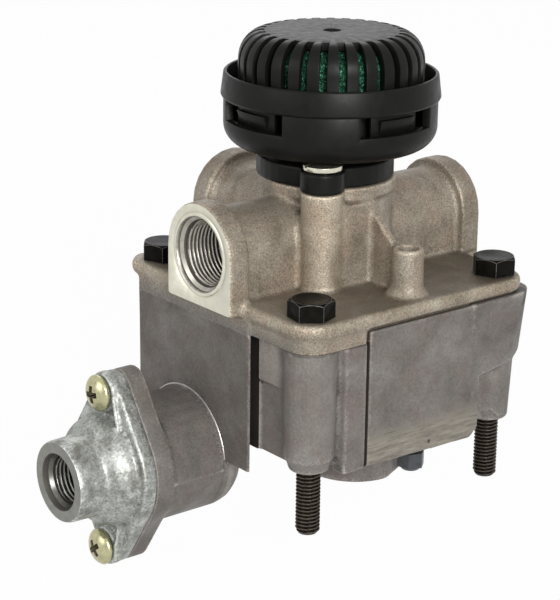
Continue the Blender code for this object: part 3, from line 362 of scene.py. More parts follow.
def knitFinish(look):
    mat, tree, shader = startMaterial("knit", look["tonesAndGlints"][0][1], look["roughness"], 0)
    shader.inputs["Specular IOR Level"].default_value = look["gloss"]
    loops = noise(tree, look["loopSize"], 3, 0.7, distortion=1.5)
    tree.links.new(ramp(tree, loops, look["tonesAndGlints"]), shader.inputs["Base Color"])
    bumps(tree, shader, loops, look["depth"])
    return mat


knit = knitFinish(knitLook)

# the solids get finishes too, as the inner ones are shown as they are
nodeFinish = {
    "upper_housing": castWarm, "lower_housing": castDark, "control_adaptor": castPale,
    "bolt_front": blackSteel, "bolt_right": blackSteel, "bolt_rear": blackSteel, "bolt_left": blackSteel,
    "adaptor_screw_upper": yellowZinc, "adaptor_screw_lower": yellowZinc, "passage_plug": plugMetal,
    "silencer_base": blackPlastic, "silencer_bowl": blackPlastic, "silencer_cover": blackPlastic,
    "silencer_filter": knit, "silencer_screw_front": whiteZinc, "silencer_screw_rear": whiteZinc,
    "relay_piston": pistonMetal, "piston_seal": rubber, "housing_seal": rubber, "adaptor_seal": rubber,
    "valve_tube": pistonMetal, "valve_facing": rubber, "valve_spring": springSteel,
    "valve_guide": guidePlastic, "guide_seal": rubber, "retaining_ring": springSteel,
}
for name, mat in nodeFinish.items():
    mesh = nodes[name].data
    mesh.materials.clear()
    mesh.materials.append(mat)
print("materials done")


# shaping
def loose(bm, name):
    mesh = bpy.data.meshes.new(name)
    bm.to_mesh(mesh)
    bm.free()
    obj = bpy.data.objects.new(name, mesh)
    bpy.context.scene.collection.objects.link(obj)
    return obj


def dress(obj, body, mats, replaced=(), sharp=38):
    # a finished object becomes a piece that rides on a body
    mesh = obj.data
    for mat in mats:
        mesh.materials.append(mat)
    mesh.shade_smooth()
    mesh.set_sharp_from_angle(angle=radians(sharp))
    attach(obj, body)
    if replaced:
        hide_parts(*replaced)


def keep(bm, name, body, mats, replaced=(), sharp=38, remake=True):
    if remake:
        bmesh.ops.recalc_face_normals(bm, faces=bm.faces)
    dress(loose(bm, name), body, mats, replaced, sharp)


def facing(axis, spot=(0, 0, 0), turn=0):
    # from a shape made along Z to one along the axis, through a spot in mm
    way = Vector((0, 0, 1)).rotation_difference(Vector(axis)).to_matrix().to_4x4()
    return Matrix.Translation(Vector(spot) * mm) @ way @ Matrix.Rotation(turn, 4, "Z")


def spun(profile, steps, place=None):
    # (radius, height) in mm, swept once round Z; closed if it doesn't end on the axis
    bm = bmesh.new()
    points = [bm.verts.new((r * mm, 0, z * mm)) for r, z in profile]
    edges = [bm.edges.new(pair) for pair in zip(points, points[1:])]
    if profile[0][0] > 0 or profile[-1][0] > 0:
        edges.append(bm.edges.new((points[-1], points[0])))
    bmesh.ops.spin(bm, geom=points + edges, cent=(0, 0, 0), axis=(0, 0, 1), angle=2 * pi, steps=steps,
                   use_merge=True)
    bmesh.ops.remove_doubles(bm, verts=bm.verts, dist=touching)
    bmesh.ops.recalc_face_normals(bm, faces=bm.faces)
    if place:
        bmesh.ops.transform(bm, matrix=place, verts=bm.verts)
    return bm


def boxed(low, high, place=None):
    bm = bmesh.new()
    bmesh.ops.create_cube(bm, size=1)
    bmesh.ops.scale(bm, verts=bm.verts, vec=[(b - a) * mm for a, b in zip(low, high)])
    bmesh.ops.translate(bm, verts=bm.verts, vec=[(a + b) / 2 * mm for a, b in zip(low, high)])
    if place:
        bmesh.ops.transform(bm, matrix=place, verts=bm.verts)
    return bm


def closed(bm):
    bmesh.ops.holes_fill(bm, edges=[e for e in bm.edges if len(e.link_faces) == 1])


def sector(near, far, centre, spread, low, high, steps):
    # an arched block: one radial wall swept round Z
    bm = bmesh.new()
    outline = ((near, low), (far, low), (far, high), (near, high))
    wall = [bm.verts.new((r * mm, 0, z * mm)) for r, z in outline]
    start = bm.faces.new(wall)
    bmesh.ops.rotate(bm, verts=wall, cent=(0, 0, 0), matrix=Matrix.Rotation(centre - spread / 2, 3, "Z"))
    bmesh.ops.spin(bm, geom=[start] + list(start.edges) + wall, cent=(0, 0, 0), axis=(0, 0, 1), angle=spread,
                   steps=steps, use_merge=False)
    closed(bm)
    bmesh.ops.recalc_face_normals(bm, faces=bm.faces)
    return bm


def roundPrism(half, corner, low, high):
    bm = boxed((-half, -half, low), (half, half, high))
    upright = [e for e in bm.edges if abs(e.verts[0].co.z - e.verts[1].co.z) > mm]
    bmesh.ops.bevel(bm, geom=upright, offset=corner * mm, segments=8, affect="EDGES", profile=0.5,
                    material=-1)
    return bm


def sliced(bm, spot, way, clear=True):
    # cut by a plane through a spot in mm; what lies beyond it goes if asked, and the cut is closed
    bmesh.ops.bisect_plane(bm, geom=bm.verts[:] + bm.edges[:] + bm.faces[:], dist=touching,
                           plane_co=[s * mm for s in spot], plane_no=way, clear_outer=clear)
    if clear:
        closed(bm)


def together(parts):
    whole = bmesh.new()
    for part in parts:
        mesh = bpy.data.meshes.new("part")
        part.to_mesh(mesh)
        part.free()
        whole.from_mesh(mesh)
        bpy.data.meshes.remove(mesh)
    return whole


def boxes(pairs):
    return together([boxed(low, high) for low, high in pairs])


def applied(obj):
    graph = bpy.context.evaluated_depsgraph_get()
    made = bpy.data.meshes.new_from_object(obj.evaluated_get(graph))
    obj.modifiers.clear()
    old = obj.data
    obj.data = made
    bpy.data.meshes.remove(old)


def carved(obj, cutter, mats, how="DIFFERENCE"):
    # what the cutter leaves takes the cutter's own material
    knife = loose(cutter, "knife")
    for mat in mats:
        knife.data.materials.append(mat)
    step = obj.modifiers.new("carve", "BOOLEAN")
    step.operation = how
    step.solver = "EXACT"
    step.object = knife
    if mats:
        step.material_mode = "TRANSFER"
    applied(obj)
    bpy.data.objects.remove(knife)


def rounded(obj, width, segments=2, angle=35, slot=-1):
    bevel = obj.modifiers.new("edges", "BEVEL")
    bevel.width = width * mm
    bevel.segments = segments
    bevel.profile = 0.5
    bevel.limit_method = "ANGLE"
    bevel.angle_limit = radians(angle)
    bevel.miter_outer = "MITER_ARC"
    bevel.use_clamp_overlap = True
    bevel.material = slot
    applied(obj)


def moved(bm, inside, way):
    # shifts the points that the test picks, all in mm
    for vert in bm.verts:
        if inside(vert.co / mm):
            vert.co += Vector(way) * mm


def copied(node):
    bm = bmesh.new()
    bm.from_mesh(nodes[node].data)
    bmesh.ops.remove_doubles(bm, verts=bm.verts, dist=1e-6)
    return bm


def wearAndShadeFrom(mesh, reach=4, strength=2.6):
    # outer edges of a casting rub bright, partly rubbed metal and partly painted highlight, and its corners
    # are painted in shade
    count = len(mesh.vertices)
    ends = np.empty(len(mesh.edges) * 2, np.int64)
    mesh.edges.foreach_get("vertices", ends)
    ends = ends.reshape(-1, 2)
    spots = np.empty(count * 3)
    mesh.vertices.foreach_get("co", spots)
    spots = spots.reshape(-1, 3)
    normals = np.empty(count * 3)
    mesh.vertex_normals.foreach_get("vector", normals)
    normals = normals.reshape(-1, 3)
    both = np.concatenate([ends, ends[:, ::-1]])
    links = np.maximum(np.bincount(both[:, 0], minlength=count), 1)

    def around(values):
        return np.bincount(both[:, 0], weights=values[both[:, 1]], minlength=count) / links

    middle = np.stack([around(spots[:, i]) for i in range(3)], 1)
    away = spots - middle
    span = np.bincount(both[:, 0], weights=np.linalg.norm(spots[both[:, 0]] - spots[both[:, 1]], axis=1),
                       minlength=count) / links
    bend = (away * normals).sum(1) / np.maximum(span, 1e-9)
    for _ in range(reach):
        bend = 0.5 * bend + 0.5 * around(bend)
    value = (0.5 + 0.5 * np.tanh(2 * strength * bend)).astype(np.float32)
    store = mesh.attributes.new("wear_and_shade", "FLOAT", "POINT")
    store.data.foreach_set("value", value)


def cast(node, name, look, extra=(), stretch=None):
    # the solid, filled along its inner corners and rounded along its outer edges, as sand and die leave it
    bm = copied(node)
    if stretch:
        stretch(bm)
    if extra:
        bm = together([bm] + list(extra))
    obj = loose(bm, name)

    def regrid():
        step = obj.modifiers.new("grid", "REMESH")
        step.mode = "VOXEL"
        step.voxel_size = look["grid"] * mm

    def grow(width):
        step = obj.modifiers.new("grow", "DISPLACE")
        step.strength = width * mm
        step.mid_level = 0

    def smooth(rounds):
        step = obj.modifiers.new("smooth", "SMOOTH")
        step.factor = 0.5
        step.iterations = rounds

    regrid()
    grow(look["fill"])
    regrid()
    smooth(2)
    grow(-look["fill"])
    regrid()
    smooth(look["smooth"])
    thin = obj.modifiers.new("thin", "DECIMATE")
    thin.ratio = look["share"]
    applied(obj)
    print(name, len(obj.data.polygons), "faces")
    return obj


# threads
threadLook = {"crestWidth": 0.12, "flank": 0.7, "sleeve": 0.25, "slack": 0.12, "rootShare": 0.42}


def ridge(vert, pitch):
    # how far a point of the helix is pulled in towards the axis, from 0 to 1, with straight flanks
    phase = (vert.co.z / mm / pitch - atan2(vert.co.y, vert.co.x) / (2 * pi)) % 1
    away = abs(phase - 0.5) * 2
    return min(1, max(0, (away - threadLook["crestWidth"]) / threadLook["flank"]))


# root faces take the second material: painted shade in the thread's roots
def shadeRoots(bm, inRoot):
    for face in bm.faces:
        if inRoot(face.calc_center_median().xy.length / mm):
            face.material_index = 1


def innerThread(root, crest, pitch, start, end, place, steps=96, perTurn=10):
    # a sleeve, its inner side pushed in and out along a helix
    count = int((start - end) / pitch * perTurn)
    inside = [(root - threadLook["sleeve"], start - (start - end) * i / count) for i in range(count + 1)]
    valley = root - threadLook["slack"]
    bm = spun(inside + [(root, end), (root, start)], steps)
    for vert in bm.verts:
        radius = vert.co.xy.length / mm
        z = vert.co.z / mm
        if radius < root - 0.1:
            fade = min(1, (start - z) / pitch, (z - end) / pitch)
            vert.co.xy *= (valley - (valley - crest) * ridge(vert, pitch) * max(0, fade)) / radius
    shadeRoots(bm, lambda r: r > valley - threadLook["rootShare"] * (valley - crest))
    bmesh.ops.transform(bm, matrix=place, verts=bm.verts)
    return bm


def outerThread(look, steps=40, perTurn=8):
    # a rod whose lower end carries a helix
    radius, depth, pitch, high = look["radius"], look["depth"], look["pitch"], look["threadTop"]
    low = look["tip"] + look["point"]
    count = int((high - low) / pitch * perTurn)
    side = [(radius, high - (high - low) * i / count) for i in range(count + 1)]
    bm = spun([(0, high)] + side + [(radius - look["point"], look["tip"]), (0, look["tip"])], steps)
    for vert in bm.verts:
        r, z = vert.co.xy.length / mm, vert.co.z / mm
        if r > radius - 0.3:
            fade = max(0, min(1, (high - z) / pitch))
            vert.co.xy *= (radius - depth * ridge(vert, pitch) * fade) / r
    shadeRoots(bm, lambda r: radius - 0.8 < r < radius - 0.45 * depth)
    return bm


# upper casting; a machined face stands proud first, so that its cut leaves a clean edge
upperLook = {"grid": 0.44, "fill": 0.95, "smooth": 2, "share": 0.3, "foot": 56.55, "proud": 0.8,
             "corner": (-1.2, 1.2, 0.4), "skinHalf": 47.25, "skinRound": 8.4, "skinHeight": (56.0, 62.5),
             "skinEnd": -22.9, "wallSkin": ((-48.15, -19.2, 55.8), (-44, 41, 61.4))}
port = {"reach": 53.2, "height": 79.2, "bore": 11.0, "mouth": 12.1, "mouthDepth": 1.5, "depth": 26.2,
        "chamfer": 1.3, "crest": 10.1, "pitch": 1.5, "threadEnd": 17.5, "face": 26, "mark": 13.7,
        "markWidth": 0.3, "markDepth": 0.35}
portWays = {"left": (-1, 0, 0), "right": (1, 0, 0), "rear": (0, 1, 0)}


def makeUpper():
    def proud(bm):
        for way in portWays.values():
            moved(bm, lambda co: co.dot(Vector(way)) > port["reach"] - 0.05, Vector(way) * upperLook["proud"])
        moved(bm, lambda co: co.z < 56.7, (0, 0, -upperLook["proud"]))
        # the rim's left corner is fuller than the others
        moved(bm, lambda co: co.x < -40 and co.y > 40 and 56 < co.z < 66.5, upperLook["corner"])

    # skins close the step below the rim where the casting runs through
    corner = roundPrism(upperLook["skinHalf"], upperLook["skinRound"], *upperLook["skinHeight"])
    sliced(corner, (upperLook["skinEnd"], 0, 0), (1, 0, 0))
    skins = [boxed(*upperLook["wallSkin"]), corner]
    obj = cast("upper_housing", "upper_casting", upperLook, extra=skins, stretch=proud)
    obj.data.materials.append(castWarm)
    p = port
    knives, bores, places = [boxed((-53, -53, 40), (53, 53, upperLook["foot"]))], [], {}
    for name, way in portWays.items():
        places[name] = facing(way, Vector(way) * p["reach"] + Vector((0, 0, p["height"])))
        knives.append(spun([(0, 2), (p["face"], 2), (p["face"], 0), (p["mark"] + p["markWidth"], 0),
                            (p["mark"], -p["markDepth"]), (p["mark"] - p["markWidth"], 0), (0, 0)],
                           96, places[name]))
        bores.append(spun([(0, 1), (p["mouth"] + p["chamfer"], 1), (p["mouth"], -0.4),
                           (p["mouth"], -p["mouthDepth"]), (p["bore"], -p["mouthDepth"] - 0.8),
                           (p["bore"], -p["depth"] + 1), (0, -p["depth"] + 1)], 96, places[name]))
    carved(obj, together(knives), [machined])
    carved(obj, together(bores), [threadMetal])
    wearAndShadeFrom(obj.data)
    dress(obj, "housing", [], ["upper_housing"], 50)
    for name, place in places.items():
        thread = innerThread(p["bore"] - 0.01, p["crest"], p["pitch"], -p["mouthDepth"] - 0.9,
                             -p["threadEnd"], place)
        keep(thread, name + "_port_thread", "housing", [threadMetal, softShade], sharp=60)
    print("upper casting done")


# lower casting; strip, slits and grooves are boxes, each from corner to corner
lowerLook = {"grid": 0.42, "fill": 0.6, "smooth": 2, "share": 0.25, "top": 56.45, "tier": 45.85, "proud": 0.8,
             "wallStart": -22, "wallLength": 47, "footDrop": 1.3, "footSlope": 1.1, "face": -74.35,
             "strip": ((-31, -46.6, 14), (-22.3, -41, 56.4)),
             "slits": [((-47.25, -20.2, 9), (-43.5, -3, 57)), ((-22.85, -50, 14), (-22.2, -42, 57))],
             "grooves": [((-31.7, -50, 14), (-31.1, -46, 57)), ((-33.6, -50, 14), (-33.1, -46.2, 57))]}
chamber = {"y": 14.3, "z": 8.1, "radius": 20.8, "plate": -48.0, "bead": 21.5, "beadRadius": 0.42,
           "beadFoot": 10.6}
# the near right corner: its skirt flares above a slanting foot, and the post below it is slimmer
nearCorner = {"post": 39, "postRadius": 8.26, "foot": 33, "top": 60.9, "flare": 3.0, "flareSlope": 0.06,
              "postFlare": 1.4, "lift": 1.9, "slant": 0.18, "postSlant": 0.09, "slim": 1.15,
              "slimWay": (0.764, -0.645)}


def shapeNearCorner(vert):
    c = nearCorner
    x, y, z = vert.co / mm
    away = Vector((x - c["post"], y + c["post"]))
    belowSkirt = z < c["foot"] + 0.6
    onPost = belowSkirt and away.length < c["postRadius"]
    if x > 40 and y < -20 and c["foot"] - 0.1 < z < c["top"]:
        flare = c["postFlare"] if onPost else c["flare"] + c["flareSlope"] * (56 - z)
        vert.co.x += flare * min(1, (x - c["post"]) / 9) * min(1, (-20 - y) / 16) * mm
    if x > 20 and y < -35 and belowSkirt and z > c["foot"] - 0.5:
        slope = c["postSlant"] if onPost else c["slant"]
        vert.co.z += (c["lift"] + slope * max(0, x - 25)) * mm
    if belowSkirt and 7 < away.length < 8.5:
        way = away.normalized()
        vert.co.xy -= way * c["slim"] * max(0, way.dot(Vector(c["slimWay"]))) * mm


def makeLower():
    def proud(bm):
        moved(bm, lambda co: 55.3 < co.z < 56.45, (0, 0, lowerLook["proud"]))
        moved(bm, lambda co: co.x < -74, (-lowerLook["proud"], 0, 0))
        sliced(bm, (0, -34, 0), (0, 1, 0), clear=False)
        for vert in bm.verts:
            x, y, z = vert.co / mm
            shapeNearCorner(vert)
            # the right wall's foot hangs lower
            if y < -46.5 and z < 21 and x > -24:
                along = (x - lowerLook["wallStart"]) / lowerLook["wallLength"]
                vert.co.z -= (lowerLook["footDrop"] + lowerLook["footSlope"] * along) * mm

    edge = chamber["y"] - chamber["radius"]
    seam = boxed((chamber["plate"] - 20, edge - 0.7, chamber["z"] - 1.9),
                 (chamber["plate"], edge + 2.5, chamber["z"] - 1.1))
    post = Matrix.Translation((nearCorner["post"] * mm, -nearCorner["post"] * mm, 0))
    foot = spun([(0, 15.9), (6.1, 15.9), (6.8, 16.6), (6.9, 27), (0, 27)], 48, post)
    obj = cast("lower_housing", "lower_casting", lowerLook, extra=[seam, foot, boxed(*lowerLook["strip"])],
               stretch=proud)
    obj.data.materials.append(castDark)
    # mating faces
    for knife in (roundPrism(lowerLook["tier"], 7.5, lowerLook["top"], 70),
                  boxed((-60, -60, lowerLook["top"]), (-23.5, 60, 70)),
                  boxed((-80, -30, -30), (lowerLook["face"], 60, 50))):
        carved(obj, knife, [castDark])
    # slits behind the left wall and beside the right one, grooves on both sides of the thin rib
    carved(obj, boxes(lowerLook["slits"]), [deepShade])
    carved(obj, boxes(lowerLook["grooves"]), [softShade])
    wearAndShadeFrom(obj.data, 3, 4.0)
    dress(obj, "housing", [], ["lower_housing"], 50)
    # a thin bright bead where the wall is cut round the chamber, its brightness a painted highlight along the
    # cut's edge
    r = chamber["beadRadius"]
    bead = spun([(chamber["bead"] + r * cos(a), -chamber["plate"] + r * sin(a))
                 for a in [i * pi / 4 for i in range(8)]], 96,
                facing((-1, 0, 0), (0, chamber["y"], chamber["z"])))
    sliced(bead, (0, 0, chamber["beadFoot"]), (0, 0, -1))
    keep(bead, "chamber_bead_highlight", "housing", [beadHighlight])
    print("lower casting done")


# control adaptor
adaptorLook = {"grid": 0.36, "fill": 0.5, "smooth": 3, "share": 0.35, "proud": 0.7, "near": -74.45,
               "ear": -79.0, "boss": 2.2, "screw": 26.8, "ribAside": 7.6, "ribHeight": 20.5, "ribTurn": -14}
nozzle = {"reach": 98.1, "face": 18, "bore": 8.0, "mouth": 9.3, "mouthDepth": 1.9, "crest": 7.2, "pitch": 1.5,
          "threadEnd": 12.5}


def makeAdaptor():
    look = adaptorLook

    def proud(bm):
        moved(bm, lambda co: co.x < -nozzle["reach"] + 0.05, (-look["proud"], 0, 0))
        moved(bm, lambda co: co.x > look["near"] - 0.2, (look["proud"], 0, 0))

    extra = []
    for sign in (-1, 1):
        spot = (look["ear"] - look["boss"], chamber["y"], chamber["z"] + sign * look["screw"])
        extra.append(spun([(0, 0), (6.1, 0), (6.5, -0.5), (6.7, -3), (0, -3)], 48, facing((-1, 0, 0), spot)))
        # a thin rib runs from each ear down to the dome
        place = Matrix.Translation((look["ear"] * mm, (chamber["y"] - look["ribAside"]) * mm,
                                    (chamber["z"] + sign * look["ribHeight"]) * mm))
        lean = Matrix.Rotation(radians(sign * look["ribTurn"]), 4, "X")
        extra.append(boxed((-2.4, -0.55, -6), (1.5, 0.55, 6), place @ lean))
    obj = cast("control_adaptor", "adaptor_casting", look, extra=extra, stretch=proud)
    obj.data.materials.append(castPale)
    place = facing((-1, 0, 0), (-nozzle["reach"], chamber["y"], chamber["z"]))
    mouth, bore, step = nozzle["mouth"], nozzle["bore"], -nozzle["mouthDepth"]
    knives = [boxed((look["near"], -40, -40), (-50, 60, 60)),
              spun([(0, 2), (nozzle["face"], 2), (nozzle["face"], 0), (0, 0)], 72, place)]
    carved(obj, together(knives), [machinedGrey])
    carved(obj, spun([(0, 1), (mouth + 0.4, 1), (mouth + 0.3, 0.1), (mouth, -0.3), (mouth - 0.1, step),
                      (0, step)], 72, place), [softShade])
    carved(obj, spun([(0, -1), (bore + 1, -1), (bore + 1, -2.0), (bore, -3.2), (bore, -12), (0, -12)], 72,
                     place), [machinedGrey])
    wearAndShadeFrom(obj.data)
    dress(obj, "housing", [], ["control_adaptor"], 50)
    thread = innerThread(bore - 0.01, nozzle["crest"], nozzle["pitch"], -3.1, -nozzle["threadEnd"] + 1,
                         place, 56)
    keep(thread, "control_port_thread", "housing", [machinedGrey, deepShade], sharp=60)
    print("adaptor done")


# through bolts
bolt = {"half": 39.0, "radius": 3.95, "pitch": 1.25, "depth": 0.7, "tip": -5.7, "point": 0.9,
        "threadTop": 17.2, "flats": 13.0, "seat": 66.3, "rise": 5.9, "turn": atan2(-0.78, -0.626),
        "edge": 0.11}
boltSpots = {"bolt_front": (-1, -1), "bolt_right": (1, -1), "bolt_rear": (1, 1), "bolt_left": (-1, 1)}


def makeBolts():
    seat, top, wide = bolt["seat"], bolt["seat"] + bolt["rise"], bolt["flats"] / 2
    shankRadius, corner = bolt["radius"] - 0.05, bolt["flats"] / sqrt(3) * mm
    for name, (x, y) in boltSpots.items():
        spot = Vector((x, y)).to_3d() * bolt["half"]
        turn = Matrix.Rotation(bolt["turn"] + (pi / 6 if x != y else 0), 4, "Z")
        head = bmesh.new()
        bmesh.ops.create_cone(head, cap_ends=True, segments=6, radius1=corner, radius2=corner,
                              depth=bolt["rise"] * mm)
        bmesh.ops.rotate(head, verts=head.verts, cent=(0, 0, 0), matrix=turn)
        bmesh.ops.translate(head, verts=head.verts, vec=(0, 0, (seat + bolt["rise"] / 2) * mm))
        obj = loose(head, name + "_head")
        # the crown rounds the head's corners off and dishes its top
        crown = spun([(0, top - 0.25), (wide - 2.4, top - 0.2), (wide - 1.2, top), (wide - 0.25, top),
                      (wide + 1.35, top - 0.95), (wide + 1.35, seat - 1), (0, seat - 1)], 60, turn)
        carved(obj, crown, [], "INTERSECT")
        for mat in (blackSteel, wornAndGlintSteel):
            obj.data.materials.append(mat)
        # the bevel takes the second finish: a bright edge line, rubbed steel and painted highlight
        rounded(obj, bolt["edge"], 2, 24, 1)
        shank = outerThread(bolt)
        bmesh.ops.translate(shank, verts=shank.verts, vec=spot * mm)
        keep(shank, name + "_thread", "housing", [threadSteel, blackSteel], sharp=70)
        bm = spun([(0, seat + 0.5), (shankRadius, seat + 0.5), (shankRadius, bolt["threadTop"] - 0.5),
                   (0, bolt["threadTop"] - 0.5)], 32)
        bm.from_mesh(obj.data)
        bpy.data.objects.remove(obj)
        bmesh.ops.translate(bm, verts=bm.verts, vec=spot * mm)
        keep(bm, name + "_piece", "housing", [blackSteel, wornAndGlintSteel], [name], 32, remake=False)
    print("bolts done")


# small screws: domed heads, crossed or slotted
screws = {"cross": {"radius": 6.0, "height": 3.6, "crown": 0.72, "lift": 2.2, "shank": 2.85, "arm": 4.2,
                    "armWidth": 2.3, "depth": 2.6, "taper": (0.38, 0.55)},
          "slot": {"radius": 6.4, "height": 2.4, "crown": 0.3, "lift": 0, "shank": 2.35, "arm": 7.0,
                   "armWidth": 1.25, "depth": 1.2, "taper": (1, 1)}}


def makeScrew(node, kind, axis, mats, turn):
    look = screws[kind]
    low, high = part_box(node)
    along = max(range(3), key=lambda i: abs(axis[i]))
    centre = (Vector(low) + Vector(high)) / 2
    centre[along] = (high if axis[along] > 0 else low)[along]
    length = (high[along] - low[along]) / mm
    place = facing(axis, centre / mm + Vector(axis) * look["lift"], turn)
    r, h, shank = look["radius"], look["height"], look["shank"]
    wide = radians(72)
    dome = [(r * sin(a) / sin(wide), -h * look["crown"] * (1 - cos(a)) / (1 - cos(wide)))
            for a in [i * wide / 8 for i in range(9)]]
    profile = dome + [(r, -h * 0.85), (r - 0.2, -h), (shank, -h), (shank, -length + 0.8),
                      (shank - 0.7, -length), (0, -length)]
    obj = loose(spun(profile, 48, place), node + "_blank")
    obj.data.materials.append(mats[0])
    for i in range(2 if kind == "cross" else 1):
        arm = boxed((-look["arm"], -look["armWidth"] / 2, -look["depth"]),
                    (look["arm"], look["armWidth"] / 2, 2))
        for vert in arm.verts:
            if vert.co.z < 0:
                vert.co.x *= look["taper"][0]
                vert.co.y *= look["taper"][1]
        bmesh.ops.transform(arm, matrix=place @ Matrix.Rotation(i * pi / 2, 4, "Z"), verts=arm.verts)
        # the cut takes the second finish, painted shade in the hollow
        carved(obj, arm, [mats[1]])
    rounded(obj, 0.12, 2, 40)
    obj.name = node + "_piece"
    dress(obj, "housing", [], [node], 40)


def makeScrews():
    zinc = [yellowZinc, recessShade]
    makeScrew("adaptor_screw_upper", "cross", (-1, 0, 0), zinc, radians(8))
    makeScrew("adaptor_screw_lower", "cross", (-1, 0, 0), zinc, radians(38))
    for node in ("silencer_screw_front", "silencer_screw_rear"):
        makeScrew(node, "slot", (0, 0, 1), [whiteZinc, recessShade], atan2(0.12, -0.94))
    print("screws done")


# silencer
silencer = {"bowlFloor": 108.0, "bowlTop": 123.7, "bowlRadius": 34.9, "bowlWall": 2.5, "bowlRound": 7.0,
            "spigot": 14.7, "stand": 26.4, "standWall": 2.0, "window": 49, "windowLow": 117.1,
            "coverFoot": 124.0, "ring": 35.8, "ringTop": 132.0, "ringWall": 1.8, "overhang": 0.9,
            "channel": 125.6, "cap": 30.2, "capFlat": 22.2, "capTop": 145.0, "shoulder": 135.6,
            "capWall": 2.6, "slots": 30, "slotWidth": 2.5, "slotInner": 21.7, "turn": 3, "tab": 34,
            "tabDrop": 7, "hook": 24, "hookOut": 1.7, "hookHeight": 4.65}


def cornerCurve(radius, flatRadius, shoulder, top, steps):
    return [(flatRadius + (radius - flatRadius) * cos(a), shoulder + (top - shoulder) * sin(a))
            for a in [i * pi / 2 / steps for i in range(steps + 1)]]


def makeBowl():
    s = silencer
    outer, inner, low, top = s["bowlRadius"], s["bowlRadius"] - s["bowlWall"], s["bowlFloor"], s["bowlTop"]
    floorTop, turnIn = low + s["bowlWall"], s["bowlRound"] - s["bowlWall"]
    outside = [(outer - s["bowlRound"] * (1 - cos(a)), low + s["bowlRound"] * (1 - sin(a)))
               for a in [i * pi / 20 for i in range(11)]]
    inside = [(inner - turnIn * (1 - cos(a)), floorTop + turnIn * (1 - sin(a)))
              for a in [i * pi / 10 for i in range(6)]]
    foot = s["stand"] - s["standWall"]
    profile = ([(outer, top)] + outside + [(s["spigot"], low), (s["spigot"], floorTop), (foot, floorTop),
               (foot, top), (s["stand"], top), (s["stand"], floorTop)] + inside[::-1] + [(inner, top)])
    obj = loose(spun(profile, 96), "bowl")
    windows = [sector(inner - 1.2, outer + 2, i * pi / 2, radians(s["window"]), s["windowLow"], top + 2, 12)
               for i in range(4)]
    carved(obj, together(windows), [])
    rounded(obj, 0.3)
    obj.name = "silencer_bowl_piece"
    dress(obj, "housing", [blackPlastic], ["silencer_bowl"])


def makeCover():
    s = silencer
    cap, ring, foot, top = s["cap"], s["ring"], s["coverFoot"], s["capTop"]
    capInside, ceiling, ringInside = cap - s["capWall"], top - s["capWall"], ring - s["ringWall"]
    outer = cornerCurve(cap, s["capFlat"], s["shoulder"], top, 10)
    inner = cornerCurve(capInside, s["capFlat"] - 1.3, s["shoulder"], ceiling, 6)
    lip = ring - s["overhang"]
    profile = ([(0, top)] + outer[::-1]
               + [(cap, s["channel"]), (ringInside - 0.9, s["channel"]),
                  (ringInside - 0.3, s["ringTop"] - 0.2), (ringInside - 0.1, s["ringTop"]),
                  (lip - 0.4, s["ringTop"]), (lip, s["ringTop"] - 0.4),
                  (ring, foot + 0.6), (ring - 0.3, foot), (capInside, foot)]
               + inner + [(0, ceiling)])
    obj = loose(spun(profile, 120), "cover")
    slotLow = (s["slotInner"], -s["slotWidth"] / 2, s["channel"] + 0.3)
    slotHigh = (cap + 0.4, s["slotWidth"] / 2, top + 2)
    turns = [2 * pi * (i + 0.5) / s["slots"] + radians(s["turn"]) for i in range(s["slots"])]
    comb = [boxed(slotLow, slotHigh, Matrix.Rotation(turn, 4, "Z")) for turn in turns]
    # a shallow dimple in the middle of the cap
    comb.append(spun([(0, top + 2), (3, top + 2), (3, top), (2.6, top - 0.9), (0, top - 0.9)], 40))
    carved(obj, together(comb), [])
    rounded(obj, 0.28, 2, 28)
    leg, hookLow = s["bowlRadius"] - s["bowlWall"] - 0.3, s["windowLow"] + 0.3
    tabs = []
    for i in range(4):
        tabs.append(sector(leg - 1.5, leg, i * pi / 2, radians(s["tab"]), foot - s["tabDrop"], foot + 0.3, 8))
        hook = sector(leg - 0.7, leg + s["hookOut"], i * pi / 2, radians(s["hook"]), hookLow,
                      hookLow + s["hookHeight"], 8)
        for vert in hook.verts:
            # the hook's face slopes in towards its foot
            if vert.co.z < (s["windowLow"] + 1) * mm and vert.co.xy.length > (leg + 1) * mm:
                vert.co.xy *= (leg + 0.2) / (leg + s["hookOut"])
        tabs.append(hook)
    hooks = loose(together(tabs), "tabs")
    rounded(hooks, 0.15)
    bm = bmesh.new()
    for part in (obj, hooks):
        bm.from_mesh(part.data)
        bpy.data.objects.remove(part)
    keep(bm, "silencer_cover_piece", "housing", [blackPlastic], ["silencer_cover"],
         remake=False)
    print("bowl and cover done")


filterLook = {"radius": 27.1, "flat": 20.6, "shoulder": 135.4, "top": 142.0}
baseLook = {"grid": 0.4, "fill": 0.8, "smooth": 3, "share": 0.3}


def makeFilter():
    low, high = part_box("silencer_filter")
    foot, top, radius = low[2] / mm, filterLook["top"], filterLook["radius"]
    outer = cornerCurve(radius, filterLook["flat"], filterLook["shoulder"], top, 8)
    bm = spun([(0, top)] + outer[::-1] + [(radius, foot), (0, foot)], 96)
    keep(bm, "silencer_filter_piece", "housing", [knit], ["silencer_filter"])


def makeBase():
    obj = cast("silencer_base", "silencer_base_piece", baseLook)
    dress(obj, "housing", [blackPlastic], ["silencer_base"], 50)


makeUpper()
makeLower()
makeAdaptor()
makeBolts()
makeBowl()
makeCover()
makeBase()
makeFilter()
makeScrews()

